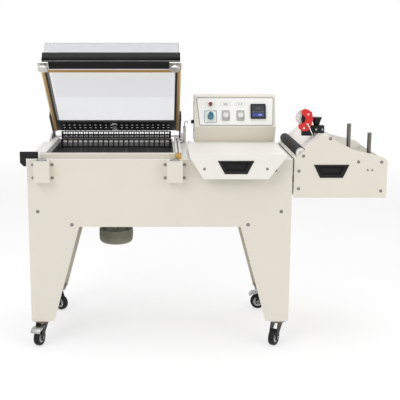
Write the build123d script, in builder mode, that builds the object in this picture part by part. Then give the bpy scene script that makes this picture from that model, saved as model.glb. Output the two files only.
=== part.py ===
from build123d import *
import math
import os

# An L bar sealer with a shrink chamber: cabinet on casters, hinged clear hood,
# packing table, console and film unit. Millimetres, +Z up, floor at Z 0.
# Places are first given from the cabinet's middle (X) and its front panel (Y),
# and two offsets then bring the middle of the whole machine's box to X 0, Y 0.
os.makedirs("parts", exist_ok=True)

# Cabinet
body_width = 1172.0
body_depth = 575.0
body_top = 862.0
half_body = body_width / 2
panel_sheet = 2.0
leg_bottom = 116.0
arch_top = 558.0
arch_half_width = 362.0
leg_width = 104.0
side_arch_half = 95.0
deck_sheet = 2.0
screw_head_radius = 6.0
screw_head_height = 2.6
screw_shank_radius = 2.5
screw_shank_length = 7.0
hole_clearance = 0.2
seat_gap = 0.3

# Chamber under the hood
chamber_left = -half_body + 81.0
chamber_right = half_body - 524.0
chamber_front = 47.0
chamber_back = body_depth - 15.0
chamber_floor = arch_top + 8.0
liner_sheet = 1.5
curb_width = 26.0
tray_level = body_top - 24.0
tray_sheet = 2.0
grille_pitch = 25.6
grille_bar = 6.0

# Sealing jaws and lid
lid_open_angle = 36.4
hinge_y = body_depth + 37.0
hinge_z = body_top + 27.5
hinge_radius = 7.0
bearing_clearance = 0.05
jaw_width = 26.0
jaw_y = 20.0
jaw_x = chamber_right + 20.0
left_seal_x = chamber_left - 14.0
pad_width = 20.0
pad_height = 4.0
seal_tape_width = 22.0
side_tape_width = 15.0
seal_tape_height = 3.0
frame_height = 45.0
frame_wall = 3.0
hood_height = 152.0
hood_wall = 5.0
hood_back = 132.0
rear_plate_start = 50.0
handle_width = 26.0
handle_height = 36.0
handle_gap = 22.0
arm_width = 8.0
tail_length = 44.0

# Electromagnets on the front panel
magnet_x_left = left_seal_x + 1.5
magnet_x_right = jaw_x - 16.0
magnet_y = -22.0
magnet_radius = 20.0
magnet_top = body_top + 6.0
housing_width = 69.0
housing_depth = 45.0
housing_bottom = body_top - 96.0
housing_wall = 2.0
housing_flange = 16.0
keeper_radius = 22.0
keeper_height = 8.0

# Fan under the chamber
fan_x = (chamber_left + chamber_right) / 2 + 10.5
fan_y = (chamber_front + chamber_back) / 2 - 13.5
motor_radius = 80.0
motor_bottom = chamber_floor - 149.0
motor_top = chamber_floor - 82.0
fan_radius = 95.0
fan_height = 42.0

# Packing table
table_right = half_body - 35.0
table_left = table_right - 422.0
table_top = body_top + 29.0
table_front = -60.0
table_back = body_depth - 239.0
table_sheet = 2.0
apron_bottom = table_top - 106.0
apron_corner = table_top - 8.0
apron_slant_left = table_left + 62.0
apron_slant_right = table_right - 77.0
table_travel_out = 120.0
table_travel_in = 36.0

# Console
console_right = half_body - 37.0
console_left = console_right - 386.0
console_bottom = table_top + 3.0
console_waist = table_top + 76.0
console_top = console_waist + 145.0
console_sheet = 2.0
console_tilt = 22.0
console_undercut = 34.0

# Film unit on the right
film_gap = 6.5
film_left = half_body + film_gap
film_right = film_left + 411.5
film_bottom = body_top - 171.0
film_depth = body_depth - 28.0
film_sheet = 2.0
ridge_left = film_left + 115.5
ridge_right = ridge_left + 34.0
ridge_top = film_bottom + 277.0
tray_lip_x = ridge_right + 18.0
film_travel = 150.0
post_radius = 9.0
post_one_x = ridge_right + 93.0
post_two_x = post_one_x + 92.0
post_one_top = film_bottom + 326.0
post_two_top = post_one_top - 40.0
post_y = 40.0
guide_roller_radius = 22.5
tray_roller_radius = 16.0

# Casters
wheel_radius = 38.0
wheel_width = 28.0
caster_trail = 36.0
caster_plate_size = 72.0
caster_plate_thick = 4.0
axle_radius = 5.0
swivel_radius = 6.0
caster_inset_x = 45.0
caster_inset_y = 38.0
caster_x = half_body - caster_inset_x
caster_front_y = caster_inset_y
caster_back_y = body_depth - caster_inset_y

# The whole machine's box, from which the origin follows
bracket_left = -half_body - 33.0
bezel_thick = 2.0
lid_angle = math.radians(lid_open_angle)
tail_pin_radius = 4.0
spring_radius = 10.0
reach_front = table_front - bezel_thick
reach_back = hinge_y + tail_length * math.cos(lid_angle) + spring_radius
body_x = -(bracket_left + film_right) / 2
body_y = -(reach_front + reach_back) / 2
seal_level = hinge_z
pad_top = seal_level - seat_gap
jaw_top = pad_top - pad_height


def level(z):
    """A level plane at a height; its axes are X and Y from the cabinet."""
    return Plane(origin=(body_x, body_y, z))


def facing(y):
    """An upright plane that faces the front; its axes are X and Z."""
    return Plane(origin=(body_x, body_y + y, 0), x_dir=(1, 0, 0), z_dir=(0, -1, 0))


def across(x):
    """An upright plane that faces right; its axes are Y and Z."""
    return Plane(origin=(body_x + x, body_y, 0), x_dir=(0, 1, 0), z_dir=(1, 0, 0))


lid_up = (0, math.sin(lid_angle), math.cos(lid_angle))
lid_back = (0, math.cos(lid_angle), -math.sin(lid_angle))
lid_plane = Plane(
    origin=(body_x, body_y + hinge_y, hinge_z), x_dir=(1, 0, 0), z_dir=lid_up
)


def lid_across(x):
    """A plane along the lid that faces right; its axes are lid Y and height."""
    spot = lid_plane.from_local_coords((x, 0, 0))
    return Plane(origin=spot, x_dir=lid_back, z_dir=(1, 0, 0))


def block(base, x_range, y_range, z_range, mode=Mode.ADD):
    """A rectangular block given by its ranges along a plane's own axes."""
    middle = ((x_range[0] + x_range[1]) / 2, (y_range[0] + y_range[1]) / 2)
    with BuildSketch(base.offset(z_range[0])) as outline:
        with Locations(middle):
            Rectangle(x_range[1] - x_range[0], y_range[1] - y_range[0])
    extrude(outline.sketch, amount=z_range[1] - z_range[0], mode=mode)


def disc(base, centre, radius, z_range, mode=Mode.ADD):
    """A round bar standing on a plane, between two heights above it."""
    with BuildSketch(base.offset(z_range[0])) as outline:
        with Locations(centre):
            Circle(radius)
    extrude(outline.sketch, amount=z_range[1] - z_range[0], mode=mode)


def plate(base, points, thickness, corner=0.0, holes=(), hole_radius=0.0,
          mode=Mode.ADD):
    """A flat plate of a given outline, with rounded corners and round holes."""
    with BuildSketch(base) as outline:
        with BuildLine():
            Polyline(*points, close=True)
        make_face()
        if corner:
            fillet(outline.vertices(), radius=corner)
        if holes:
            with Locations(*holes):
                Circle(hole_radius, mode=Mode.SUBTRACT)
    extrude(outline.sketch, amount=thickness, mode=mode)


def screws(base, places):
    """Pan-head screws: each head sits on the plane, its shank goes behind it."""
    for place in places:
        disc(base, place, screw_head_radius, (0, screw_head_height))
        disc(base, place, screw_shank_radius, (-screw_shank_length, 0))


def save(piece, name):
    """Labels a finished piece and writes its file."""
    piece.part.label = name
    export_step(piece.part, f"parts/{name}.step")


origin_level = level(0)
panel_hole = screw_shank_radius + hole_clearance
body_faces = (-half_body, half_body)
inner_half = half_body - panel_sheet

# Cabinet panels: a front and a rear sheet with an arch between slanted legs
leg_inner = half_body - leg_width
arch_points = [
    (-half_body, body_top),
    (-half_body, leg_bottom),
    (-leg_inner, leg_bottom),
    (-arch_half_width, arch_top),
    (arch_half_width, arch_top),
    (leg_inner, leg_bottom),
    (half_body, leg_bottom),
    (half_body, body_top),
]
flange_x = housing_width / 2 + housing_flange / 2
flange_screw_z = (body_top - 22.0, housing_bottom + 15.0)
magnet_screws = []
for magnet_x in (magnet_x_left, magnet_x_right):
    for side in (-flange_x, flange_x):
        for height in flange_screw_z:
            magnet_screws.append((magnet_x + side, height))
lower_screw_low = arch_top + 10.0
lower_screw_high = arch_top + 70.0
lower_screws = [
    (-half_body + 42.0, lower_screw_high),
    (-arch_half_width - 31.0, lower_screw_low),
    (half_body - 45.0, lower_screw_high),
    (arch_half_width + 32.0, lower_screw_low),
]
leg_return = 26.0
return_wall = 2.2


def leg_returns(base, depth):
    """The narrow flange folded in along the arch's slanted and top edges."""
    flange_top = arch_top + return_wall
    strip = [
        (-leg_inner, leg_bottom),
        (-arch_half_width, arch_top),
        (arch_half_width, arch_top),
        (leg_inner, leg_bottom),
        (leg_inner + return_wall, leg_bottom),
        (arch_half_width + return_wall, flange_top),
        (-arch_half_width - return_wall, flange_top),
        (-leg_inner - return_wall, leg_bottom),
    ]
    plate(base, strip, depth)


with BuildPart() as front_panel:
    plate(facing(0), arch_points, -panel_sheet, holes=magnet_screws + lower_screws,
          hole_radius=panel_hole)
    leg_returns(facing(0), -leg_return)
save(front_panel, "front_panel")

with BuildPart() as rear_panel:
    plate(facing(body_depth), arch_points, -panel_sheet)
    leg_returns(facing(body_depth), leg_return)
save(rear_panel, "rear_panel")

# Side sheets fit between the front and rear panels
side_middle = body_depth / 2
side_points = [
    (panel_sheet, body_top),
    (panel_sheet, leg_bottom),
    (leg_width, leg_bottom),
    (side_middle - side_arch_half, arch_top),
    (side_middle + side_arch_half, arch_top),
    (body_depth - leg_width, leg_bottom),
    (body_depth, leg_bottom),
    (body_depth, body_top),
]
with BuildPart() as side_panels:
    plate(across(half_body), side_points, -panel_sheet)
    plate(across(-half_body), side_points, panel_sheet)
save(side_panels, "side_panels")

# Foot plates close the legs; each caster's top plate and kingpin hang under one
foot_plate_thick = 4.0
foot_gap = 3.0
kingpin_length = 14.0
caster_spots = {
    "front_left": (-caster_x, caster_front_y, (-0.32, -0.947)),
    "front_right": (caster_x, caster_front_y, (-0.51, -0.86)),
    "rear_left": (-caster_x, caster_back_y, (0.8, -0.6)),
    "rear_right": (caster_x, caster_back_y, (-1.0, 0.0)),
}
plate_bottom = leg_bottom - caster_plate_thick
with BuildPart() as foot_plates:
    for spot_x, spot_y, trail_way in caster_spots.values():
        side = math.copysign(1, spot_x)
        foot_x = sorted((side * (leg_inner + foot_gap), side * inner_half))
        foot_y = (panel_sheet, leg_width)
        if spot_y > side_middle:
            foot_y = (body_depth - leg_width, body_depth)
        block(origin_level, foot_x, foot_y, (leg_bottom, leg_bottom + foot_plate_thick))
        half_plate = caster_plate_size / 2
        block(origin_level, (spot_x - half_plate, spot_x + half_plate),
              (spot_y - half_plate, spot_y + half_plate), (plate_bottom, leg_bottom))
        disc(origin_level, (spot_x, spot_y), swivel_radius,
             (plate_bottom - kingpin_length, plate_bottom))
save(foot_plates, "foot_plates")

# Deck with the chamber opening, a curb on its left and one at the back
back_curb_height = 16.0
deck_top = body_top + deck_sheet
opening_x = (chamber_left, chamber_right)
opening_y = (chamber_front, chamber_back)
curb_left = chamber_left - curb_width
with BuildPart() as deck_frame:
    block(origin_level, body_faces, (0, body_depth + panel_sheet), (body_top, deck_top))
    block(origin_level, (curb_left, chamber_left), (chamber_front, body_depth),
          (deck_top, pad_top))
    block(origin_level, opening_x, (chamber_back, body_depth),
          (deck_top, deck_top + back_curb_height))
    block(origin_level, opening_x, opening_y, (body_top, deck_top), Mode.SUBTRACT)
save(deck_frame, "deck_frame")

# Chamber liner: an open box with ledges for the tray and a hole for the fan shaft
ledge_width = 12.0
ledge_height = 4.0
shaft_hole_radius = 10.0
liner_x = (chamber_left + liner_sheet, chamber_right - liner_sheet)
liner_y = (chamber_front + liner_sheet, chamber_back - liner_sheet)
liner_inside = chamber_floor + liner_sheet
ledge_z = (tray_level - ledge_height, tray_level)
with BuildPart() as chamber_liner:
    block(origin_level, opening_x, opening_y, (chamber_floor, deck_top))
    block(origin_level, liner_x, liner_y, (liner_inside, deck_top), Mode.SUBTRACT)
    block(origin_level, (liner_x[0], liner_x[0] + ledge_width), liner_y, ledge_z)
    block(origin_level, (liner_x[1] - ledge_width, liner_x[1]), liner_y, ledge_z)
    disc(origin_level, (fan_x, fan_y), shaft_hole_radius,
         (chamber_floor, liner_inside), Mode.SUBTRACT)
save(chamber_liner, "chamber_liner")

# Rear guards: an upright grille inside the chamber and a pierced strip behind it
grille_thick = 3.0
grille_top = deck_top + 16.0
grille_bottom = tray_level + tray_sheet
grille_rail = 5.0
strip_bottom = deck_top - 44.0
strip_top = deck_top + 54.0
strip_margin = 6.0
window_height = 9.0
window_rows = (strip_top - 30.0, strip_top - 14.0)
grille_back = liner_y[1]
grille_front = grille_back - grille_thick
grille_x = (liner_x[0] + strip_margin, liner_x[1] - strip_margin)
grille_middle = (grille_x[0] + grille_x[1]) / 2
window_count = int((grille_x[1] - grille_x[0]) / grille_pitch)
window_width = grille_pitch - grille_bar
window_low = grille_bottom + grille_rail
window_tall = grille_top - grille_rail - window_low
with BuildPart() as rear_guards:
    with BuildSketch(facing(grille_back)) as grille:
        with Locations((grille_middle, (grille_bottom + grille_top) / 2)):
            Rectangle(grille_x[1] - grille_x[0], grille_top - grille_bottom)
        with Locations((grille_middle, window_low + window_tall / 2)):
            with GridLocations(grille_pitch, 0, window_count, 1):
                Rectangle(window_width, window_tall, mode=Mode.SUBTRACT)
    extrude(amount=grille_thick)
    with BuildSketch(facing(body_depth + panel_sheet)) as strip:
        with Locations((grille_middle, (strip_bottom + strip_top) / 2)):
            Rectangle(grille_x[1] - grille_x[0], strip_top - strip_bottom)
        for row in window_rows:
            with Locations((grille_middle, row + window_height / 2)):
                with GridLocations(grille_pitch, 0, window_count, 1):
                    Rectangle(window_width, window_height, mode=Mode.SUBTRACT)
    extrude(amount=-panel_sheet)
save(rear_guards, "rear_guards")

# Product tray with slots for the hot air
tray_gap = 1.0
slot_long = 96.0
slot_wide = 12.0
slot_step_x = 110.0
slot_step_y = 36.0
tray_x = (liner_x[0] + tray_gap, liner_x[1] - tray_gap)
tray_y = (liner_y[0] + tray_gap, grille_front - tray_gap)
tray_middle = ((tray_x[0] + tray_x[1]) / 2, (tray_y[0] + tray_y[1]) / 2)
slots_x = int((tray_x[1] - tray_x[0]) / slot_step_x)
slots_y = int((tray_y[1] - tray_y[0] - ledge_width) / slot_step_y)
with BuildPart() as product_tray:
    with BuildSketch(level(tray_level)) as tray:
        with Locations(tray_middle):
            Rectangle(tray_x[1] - tray_x[0], tray_y[1] - tray_y[0])
            with GridLocations(slot_step_x, slot_step_y, slots_x, slots_y):
                Rectangle(slot_long, slot_wide, mode=Mode.SUBTRACT)
    extrude(amount=tray_sheet)
save(product_tray, "product_tray")

# Heater elements: straight rods from wall to wall
heater_radius = 4.0
heater_level = chamber_floor + 154.0
heater_step = 80.0
heater_count = 5
with BuildPart() as heater_elements:
    with BuildSketch(across(liner_x[0])) as rods:
        with Locations(((liner_y[0] + liner_y[1]) / 2, heater_level)):
            with GridLocations(heater_step, 0, heater_count, 1):
                Circle(heater_radius)
    extrude(amount=liner_x[1] - liner_x[0])
save(heater_elements, "heater_elements")

# Fan motor, hung on four standoffs under the chamber, and the fan wheel above
motor_round = 22.0
mount_thick = 5.0
standoff_radius = 6.0
standoff_circle = 56.0
fan_shaft_radius = 6.0
shaft_depth = 14.0
mount_bottom = chamber_floor - mount_thick
with BuildPart() as fan_motor:
    disc(origin_level, (fan_x, fan_y), motor_radius, (motor_bottom, motor_top))
    fillet(fan_motor.edges().sort_by(Axis.Z)[0], radius=motor_round)
    disc(origin_level, (fan_x, fan_y), motor_radius, (mount_bottom, chamber_floor))
    with BuildSketch(level(motor_top)) as standoffs:
        with Locations((fan_x, fan_y)):
            with PolarLocations(standoff_circle, 4):
                Circle(standoff_radius)
    extrude(amount=mount_bottom - motor_top)
    disc(origin_level, (fan_x, fan_y), shaft_hole_radius,
         (mount_bottom, chamber_floor), Mode.SUBTRACT)
    disc(origin_level, (fan_x, fan_y), fan_shaft_radius + bearing_clearance,
         (motor_top - shaft_depth, motor_top), Mode.SUBTRACT)
save(fan_motor, "fan_motor")

fan_bottom = liner_inside + 24.0
fan_hub_radius = 18.0
fan_disc_thick = 3.0
blade_count = 8
blade_thick = 2.0
with BuildPart() as fan_wheel:
    disc(origin_level, (fan_x, fan_y), fan_shaft_radius,
         (motor_top - shaft_depth + seat_gap, fan_bottom + fan_height))
    disc(origin_level, (fan_x, fan_y), fan_hub_radius, (fan_bottom, fan_bottom + fan_height))
    disc(origin_level, (fan_x, fan_y), fan_radius, (fan_bottom, fan_bottom + fan_disc_thick))
    with BuildSketch(level(fan_bottom)) as blades:
        with Locations((fan_x, fan_y)):
            with PolarLocations((fan_radius + fan_shaft_radius) / 2, blade_count):
                Rectangle(fan_radius - fan_shaft_radius, blade_thick)
    extrude(amount=fan_height)
save(fan_wheel, "fan_wheel")

# Lower jaws: a front bar and a right bar, with pads, and a brass block at the corner
jaw_front = jaw_y - jaw_width / 2
jaw_back = jaw_y + jaw_width / 2
jaw_left = jaw_x - jaw_width / 2
jaw_right = jaw_x + jaw_width / 2
groove_width = 6.0
with BuildPart() as lower_jaws:
    block(origin_level, (curb_left, jaw_left), (jaw_front, jaw_back), (deck_top, jaw_top))
    block(origin_level, (jaw_left, jaw_right), (jaw_back, chamber_back),
          (deck_top, jaw_top))
save(lower_jaws, "lower_jaws")

pad_inset = (jaw_width - pad_width) / 2
with BuildPart() as seal_pads:
    block(origin_level, (curb_left, jaw_left), (jaw_front + pad_inset,
          jaw_back - pad_inset), (jaw_top, pad_top))
    for pad_side in (-1, 1):
        pad_edges = sorted((jaw_x + pad_side * groove_width / 2,
                            jaw_x + pad_side * jaw_width / 2))
        block(origin_level, pad_edges, (jaw_back, chamber_back), (jaw_top, pad_top))
save(seal_pads, "seal_pads")

end_block_front = 2.0
end_block_drop = 1.0
with BuildPart() as jaw_end_block:
    block(origin_level, (jaw_left, jaw_right), (end_block_front, jaw_back),
          (deck_top, pad_top - end_block_drop))
save(jaw_end_block, "jaw_end_block")

# Magnet housings screwed to the front panel, and the electromagnets in them
magnet_places = (magnet_x_left, magnet_x_right)
half_housing = housing_width / 2
pole_clearance = 0.3
bracket_low = body_top - 66.0
bracket_thick = 4.0
bracket_half = 22.0
with BuildPart() as magnet_housings:
    for magnet_x in magnet_places:
        box_x = (magnet_x - half_housing, magnet_x + half_housing)
        flange_edges = (box_x[0] - housing_flange, box_x[1] + housing_flange)
        block(origin_level, box_x, (-housing_depth, 0), (housing_bottom, body_top))
        block(origin_level, flange_edges, (-housing_wall, 0), (housing_bottom, body_top))
        block(origin_level, (box_x[0] + housing_wall, box_x[1] - housing_wall),
              (housing_wall - housing_depth, 0),
              (housing_bottom + housing_wall, body_top - housing_wall), Mode.SUBTRACT)
        disc(origin_level, (magnet_x, magnet_y), magnet_radius + pole_clearance,
             (body_top - housing_wall, body_top), Mode.SUBTRACT)
    with BuildSketch(facing(0)) as flange_holes:
        with Locations(*magnet_screws):
            Circle(panel_hole)
    extrude(amount=housing_wall, mode=Mode.SUBTRACT)
save(magnet_housings, "magnet_housings")

with BuildPart() as electromagnets:
    for magnet_x in magnet_places:
        disc(origin_level, (magnet_x, magnet_y), magnet_radius,
             (bracket_low + bracket_thick, magnet_top))
        block(origin_level, (magnet_x - bracket_half, magnet_x + bracket_half),
              (housing_wall - housing_depth, 0),
              (bracket_low, bracket_low + bracket_thick))
save(electromagnets, "electromagnets")

with BuildPart() as body_screws:
    screws(facing(-housing_wall), magnet_screws)
    screws(facing(0), lower_screws)
save(body_screws, "body_screws")

# Hinge posts on the deck, the hinge shaft, and the lid springs behind the cabinet
post_thick = 8.0
arm_gap = 3.0
post_back = 18.0
shaft_overhang = 6.0
frame_left = left_seal_x - jaw_width / 2
frame_right = jaw_right
arm_left = (frame_left - arm_width, frame_left)
arm_right = (frame_right, frame_right + arm_width)
post_left = (arm_left[0] - arm_gap - post_thick, arm_left[0] - arm_gap)
post_right = (arm_right[1] + arm_gap, arm_right[1] + arm_gap + post_thick)
post_front = hinge_y - 100.0
post_eye = 14.0
post_points = [
    (post_front, deck_top),
    (body_depth - panel_sheet, deck_top),
    (hinge_y + post_back, hinge_z - post_eye),
    (hinge_y + post_back, hinge_z + post_eye),
    (hinge_y - 1.5 * post_eye, hinge_z + post_eye),
    (post_front, deck_top + post_eye),
]
tail_y = hinge_y + tail_length * math.cos(lid_angle)
tail_z = hinge_z - tail_length * math.sin(lid_angle)
spring_out = 16.0
spring_left_x = arm_left[0] - spring_out
spring_right_x = arm_right[1] + spring_out
lug_level = hinge_z - 189.5
lug_thick = 6.0
lug_half = 9.0
with BuildPart() as hinge_posts:
    for post_x in (post_left, post_right):
        plate(across(post_x[0]), post_points, post_thick)
        disc(across(post_x[0]), (hinge_y, hinge_z), hinge_radius, (0, post_thick),
             Mode.SUBTRACT)
    for spring_x in (spring_left_x, spring_right_x):
        block(origin_level, (spring_x - lug_half, spring_x + lug_half),
              (body_depth + panel_sheet, tail_y + spring_radius),
              (lug_level, lug_level + lug_thick))
save(hinge_posts, "hinge_posts")

with BuildPart() as hinge_shaft:
    disc(across(0), (hinge_y, hinge_z), hinge_radius - bearing_clearance,
         (post_left[0] - shaft_overhang, post_right[1] + shaft_overhang))
save(hinge_shaft, "hinge_shaft")

spring_wire = 3.0
spring_low = lug_level + lug_thick
spring_high = tail_z - tail_pin_radius - seat_gap
with BuildPart() as lid_springs:
    for spring_x in (spring_left_x, spring_right_x):
        disc(origin_level, (spring_x, tail_y), spring_radius, (spring_low, spring_high))
        disc(origin_level, (spring_x, tail_y), spring_radius - spring_wire,
             (spring_low, spring_high), Mode.SUBTRACT)
save(lid_springs, "lid_springs")

# Bracket at the front left corner, standing on the deck past the cabinet's side
bracket_y = 18.0
bracket_sheet = 6.0
bracket_right = -half_body + 48.0
bracket_top = hinge_z + 5.0
bracket_leg = -half_body - 6.0
bracket_low_edge = body_top - 33.0
bracket_cut = 16.0
bracket_points = [
    (bracket_left, bracket_top),
    (bracket_left, bracket_low_edge + bracket_cut),
    (bracket_left + bracket_cut, bracket_low_edge),
    (bracket_leg, bracket_low_edge),
    (bracket_leg, deck_top),
    (bracket_right, deck_top),
    (bracket_right, bracket_top),
]
with BuildPart() as side_bracket:
    plate(facing(bracket_y + bracket_sheet), bracket_points, bracket_sheet)
save(side_bracket, "side_bracket")

# Console: a hollow sheet case with a tilted face, on a pedestal on the deck
tilt = math.radians(console_tilt)
waist_y = body_depth - 245.0
face_rise = console_top - console_waist
face_length = face_rise / math.cos(tilt)
console_back = body_depth - 75.0
pedestal_front = body_depth - 175.0
pedestal_inset = 30.0
console_round = 5.0
console_chamfer = 30.0
console_points = [
    (waist_y, console_waist),
    (waist_y + face_rise * math.tan(tilt), console_top),
    (console_back - console_chamfer, console_top),
    (console_back, console_top - console_chamfer),
    (console_back, console_bottom),
    (waist_y + console_undercut, console_bottom),
]
console_width = console_right - console_left
with BuildPart() as console_case:
    with BuildSketch(across(console_left)) as profile:
        with BuildLine():
            Polyline(*console_points, close=True)
        make_face()
        fillet(profile.vertices(), radius=console_round)
    extrude(amount=console_width)
    with BuildSketch(across(console_left + console_sheet)) as hollow:
        with BuildLine():
            Polyline(*console_points, close=True)
        make_face()
        offset(amount=-console_sheet, kind=Kind.INTERSECTION)
    extrude(amount=console_width - 2 * console_sheet, mode=Mode.SUBTRACT)
    pedestal_x = (console_left + pedestal_inset, console_right - pedestal_inset)
    pedestal_y = (pedestal_front, console_back - pedestal_inset)
    inner_x = (pedestal_x[0] + console_sheet, pedestal_x[1] - console_sheet)
    inner_y = (pedestal_y[0] + console_sheet, pedestal_y[1] - console_sheet)
    block(origin_level, pedestal_x, pedestal_y, (deck_top, console_bottom))
    block(origin_level, inner_x, inner_y, (deck_top, console_bottom + console_sheet),
          Mode.SUBTRACT)
save(console_case, "console_case")

face_plane = Plane(
    origin=(body_x, body_y + waist_y, console_waist),
    x_dir=(1, 0, 0),
    z_dir=(0, -math.cos(tilt), math.sin(tilt)),
)
label_thick = 1.0
label_low = 6.0
label_high = 147.0
label_points = [
    (console_left + 8.0, label_high),
    (console_left + 23.0, label_low),
    (console_right - 11.0, label_low),
    (console_right - 6.0, label_high),
]
label_corner = 8.0
main_switch = (console_left + 77.3, 51.0)
main_plate = 60.0
time_dial = (console_left + 149.2, 56.0)
heat_dial = (console_left + 219.3, 56.0)
dial_plate = (39.0, 52.0)
small_plate_corner = 4.0
plate_thick = 1.5
with BuildPart() as console_plates:
    plate(face_plane, label_points, label_thick, label_corner)
    with BuildSketch(face_plane.offset(label_thick)) as small_plates:
        with Locations(time_dial, heat_dial):
            RectangleRounded(*dial_plate, small_plate_corner)
        with Locations(main_switch):
            RectangleRounded(main_plate, main_plate, small_plate_corner)
    extrude(amount=plate_thick)
save(console_plates, "console_plates")

# Lamp, temperature controller and the knobs on the console's face
face_front = label_thick + plate_thick
lamp_spot = (main_switch[0], 113.0)
lamp_radius = 9.0
lamp_height = 12.0
lamp_round = 4.0
with BuildPart() as power_lamp:
    disc(face_plane, lamp_spot, lamp_radius, (label_thick, label_thick + lamp_height))
    lamp_axis = Axis(face_plane.origin, face_plane.z_dir)
    fillet(power_lamp.edges().sort_by(lamp_axis)[-1], radius=lamp_round)
save(power_lamp, "power_lamp")

controller_spot = (console_right - 82.6, 76.0)
controller_size = 72.0
controller_depth = 8.0
controller_bezel = 6.0
controller_recess = 2.0
window_size = controller_size - 2 * controller_bezel
with BuildPart() as temperature_controller:
    with BuildSketch(face_plane.offset(label_thick)) as bezel:
        with Locations(controller_spot):
            RectangleRounded(controller_size, controller_size, small_plate_corner)
    extrude(amount=controller_depth)
    with BuildSketch(face_plane.offset(label_thick + controller_depth)) as window:
        with Locations(controller_spot):
            Rectangle(window_size, window_size)
    extrude(amount=-controller_recess, mode=Mode.SUBTRACT)
save(temperature_controller, "temperature_controller")

knob_gap = seat_gap
main_knob_radius = 21.0
main_knob_base = 8.0
main_grip_length = 50.0
main_grip_width = 12.0
main_grip_height = 20.0
knob_low = face_front + knob_gap
with BuildPart() as main_switch_knob:
    disc(face_plane, main_switch, main_knob_radius, (knob_low, knob_low + main_knob_base))
    with BuildSketch(face_plane.offset(knob_low + main_knob_base)) as grip:
        with Locations(main_switch):
            SlotOverall(main_grip_length, main_grip_width, rotation=90)
    extrude(amount=main_grip_height)
save(main_switch_knob, "main_switch_knob")

dial_radius = 12.0
dial_height = 16.0
dial_ridge = 2.0
for dial_name, dial_spot in (("time_dial_knob", time_dial), ("heat_dial_knob", heat_dial)):
    with BuildPart() as dial_knob:
        disc(face_plane, dial_spot, dial_radius, (knob_low, knob_low + dial_height))
        with BuildSketch(face_plane.offset(knob_low + dial_height)) as pointer:
            with Locations(dial_spot):
                Rectangle(dial_ridge, 2 * dial_radius - dial_ridge)
        extrude(amount=dial_ridge)
    save(dial_knob, dial_name)

gland_spot = (waist_y + 70.0, console_waist + 18.0)
gland_radius = 9.0
gland_length = 14.0
inlet_spot = (half_body - 286.0, arch_top + 82.0)
inlet_radius = 12.0
inlet_length = 20.0
with BuildPart() as cable_gland:
    disc(across(console_left), gland_spot, gland_radius, (-gland_length, 0))
    disc(facing(body_depth + panel_sheet), inlet_spot, inlet_radius, (-inlet_length, 0))
save(cable_gland, "cable_gland")

# Slide rails: open channels on the deck for the table, and on the side for the film
rail_outer = 30.0
rail_wall = 2.0
rail_height = 14.0
rail_play = 0.5
rail_places = (table_left + 36.0, table_right - 36.0)
rail_y = (10.0, body_depth - 190.0)
slider_y = (22.0, table_back - 6.0)
film_rail_depth = 10.0
film_wall_inset = 8.0
film_rail_levels = (film_bottom + 49.0, film_bottom + 109.0)
film_rail_y = (30.0, film_depth - 17.0)
film_slider_y = (film_rail_y[0] + 2.0, film_rail_y[1] - 2.0)
film_wall = film_left + film_wall_inset
with BuildPart() as slide_rails:
    for rail_x in rail_places:
        half_rail = rail_outer / 2
        block(origin_level, (rail_x - half_rail, rail_x + half_rail), rail_y,
              (deck_top, deck_top + rail_height))
        block(origin_level, (rail_x - half_rail + rail_wall,
              rail_x + half_rail - rail_wall), rail_y,
              (deck_top + rail_wall, deck_top + rail_height), Mode.SUBTRACT)
    for rail_z in film_rail_levels:
        half_rail = rail_outer / 2
        block(across(half_body), film_rail_y, (rail_z - half_rail, rail_z + half_rail),
              (0, film_rail_depth))
        block(across(half_body), film_rail_y, (rail_z - half_rail + rail_wall,
              rail_z + half_rail - rail_wall), (rail_wall, film_rail_depth),
              Mode.SUBTRACT)
save(slide_rails, "slide_rails")

# Lid: side bars with arms, cross bars, tape, hood, handle bar and keepers
frame_low = seal_tape_height
lid_front = jaw_y - jaw_width / 2 - hinge_y
lid_bar_back = -rear_plate_start
beam_back = lid_front + jaw_width
frame_inner_left = left_seal_x + jaw_width / 2
frame_inner_right = jaw_left
arm_front = -200.0
arm_low = -8.0
arm_high = 26.0
hub_radius = 17.0
tail_round = 8.0
tail_half = tail_round - 1.0
pin_length = 26.0
with BuildPart() as lid_frame:
    for bar_x in ((frame_left, frame_inner_left), (frame_inner_right, frame_right)):
        block(lid_plane, bar_x, (lid_front, lid_bar_back), (frame_low, frame_height))
        block(lid_plane, (bar_x[0] + frame_wall, bar_x[1] - frame_wall),
              (lid_front + frame_wall, lid_bar_back),
              (frame_low + frame_wall, frame_height - frame_wall), Mode.SUBTRACT)
    for arm_x in (arm_left, arm_right):
        block(lid_plane, arm_x, (arm_front, 0), (arm_low, arm_high))
        block(lid_plane, arm_x, (0, tail_length), (-tail_half, tail_half))
        disc(lid_across(arm_x[0]), (tail_length, 0), tail_round, (0, arm_width))
        disc(lid_across(arm_x[0]), (0, 0), hub_radius, (0, arm_width))
        disc(lid_across(arm_x[0]), (0, 0), hinge_radius + bearing_clearance,
             (0, arm_width), Mode.SUBTRACT)
    disc(lid_across(arm_left[0]), (tail_length, 0), tail_pin_radius, (-pin_length, 0))
    disc(lid_across(arm_right[1]), (tail_length, 0), tail_pin_radius, (0, pin_length))
save(lid_frame, "lid_frame")

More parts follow.
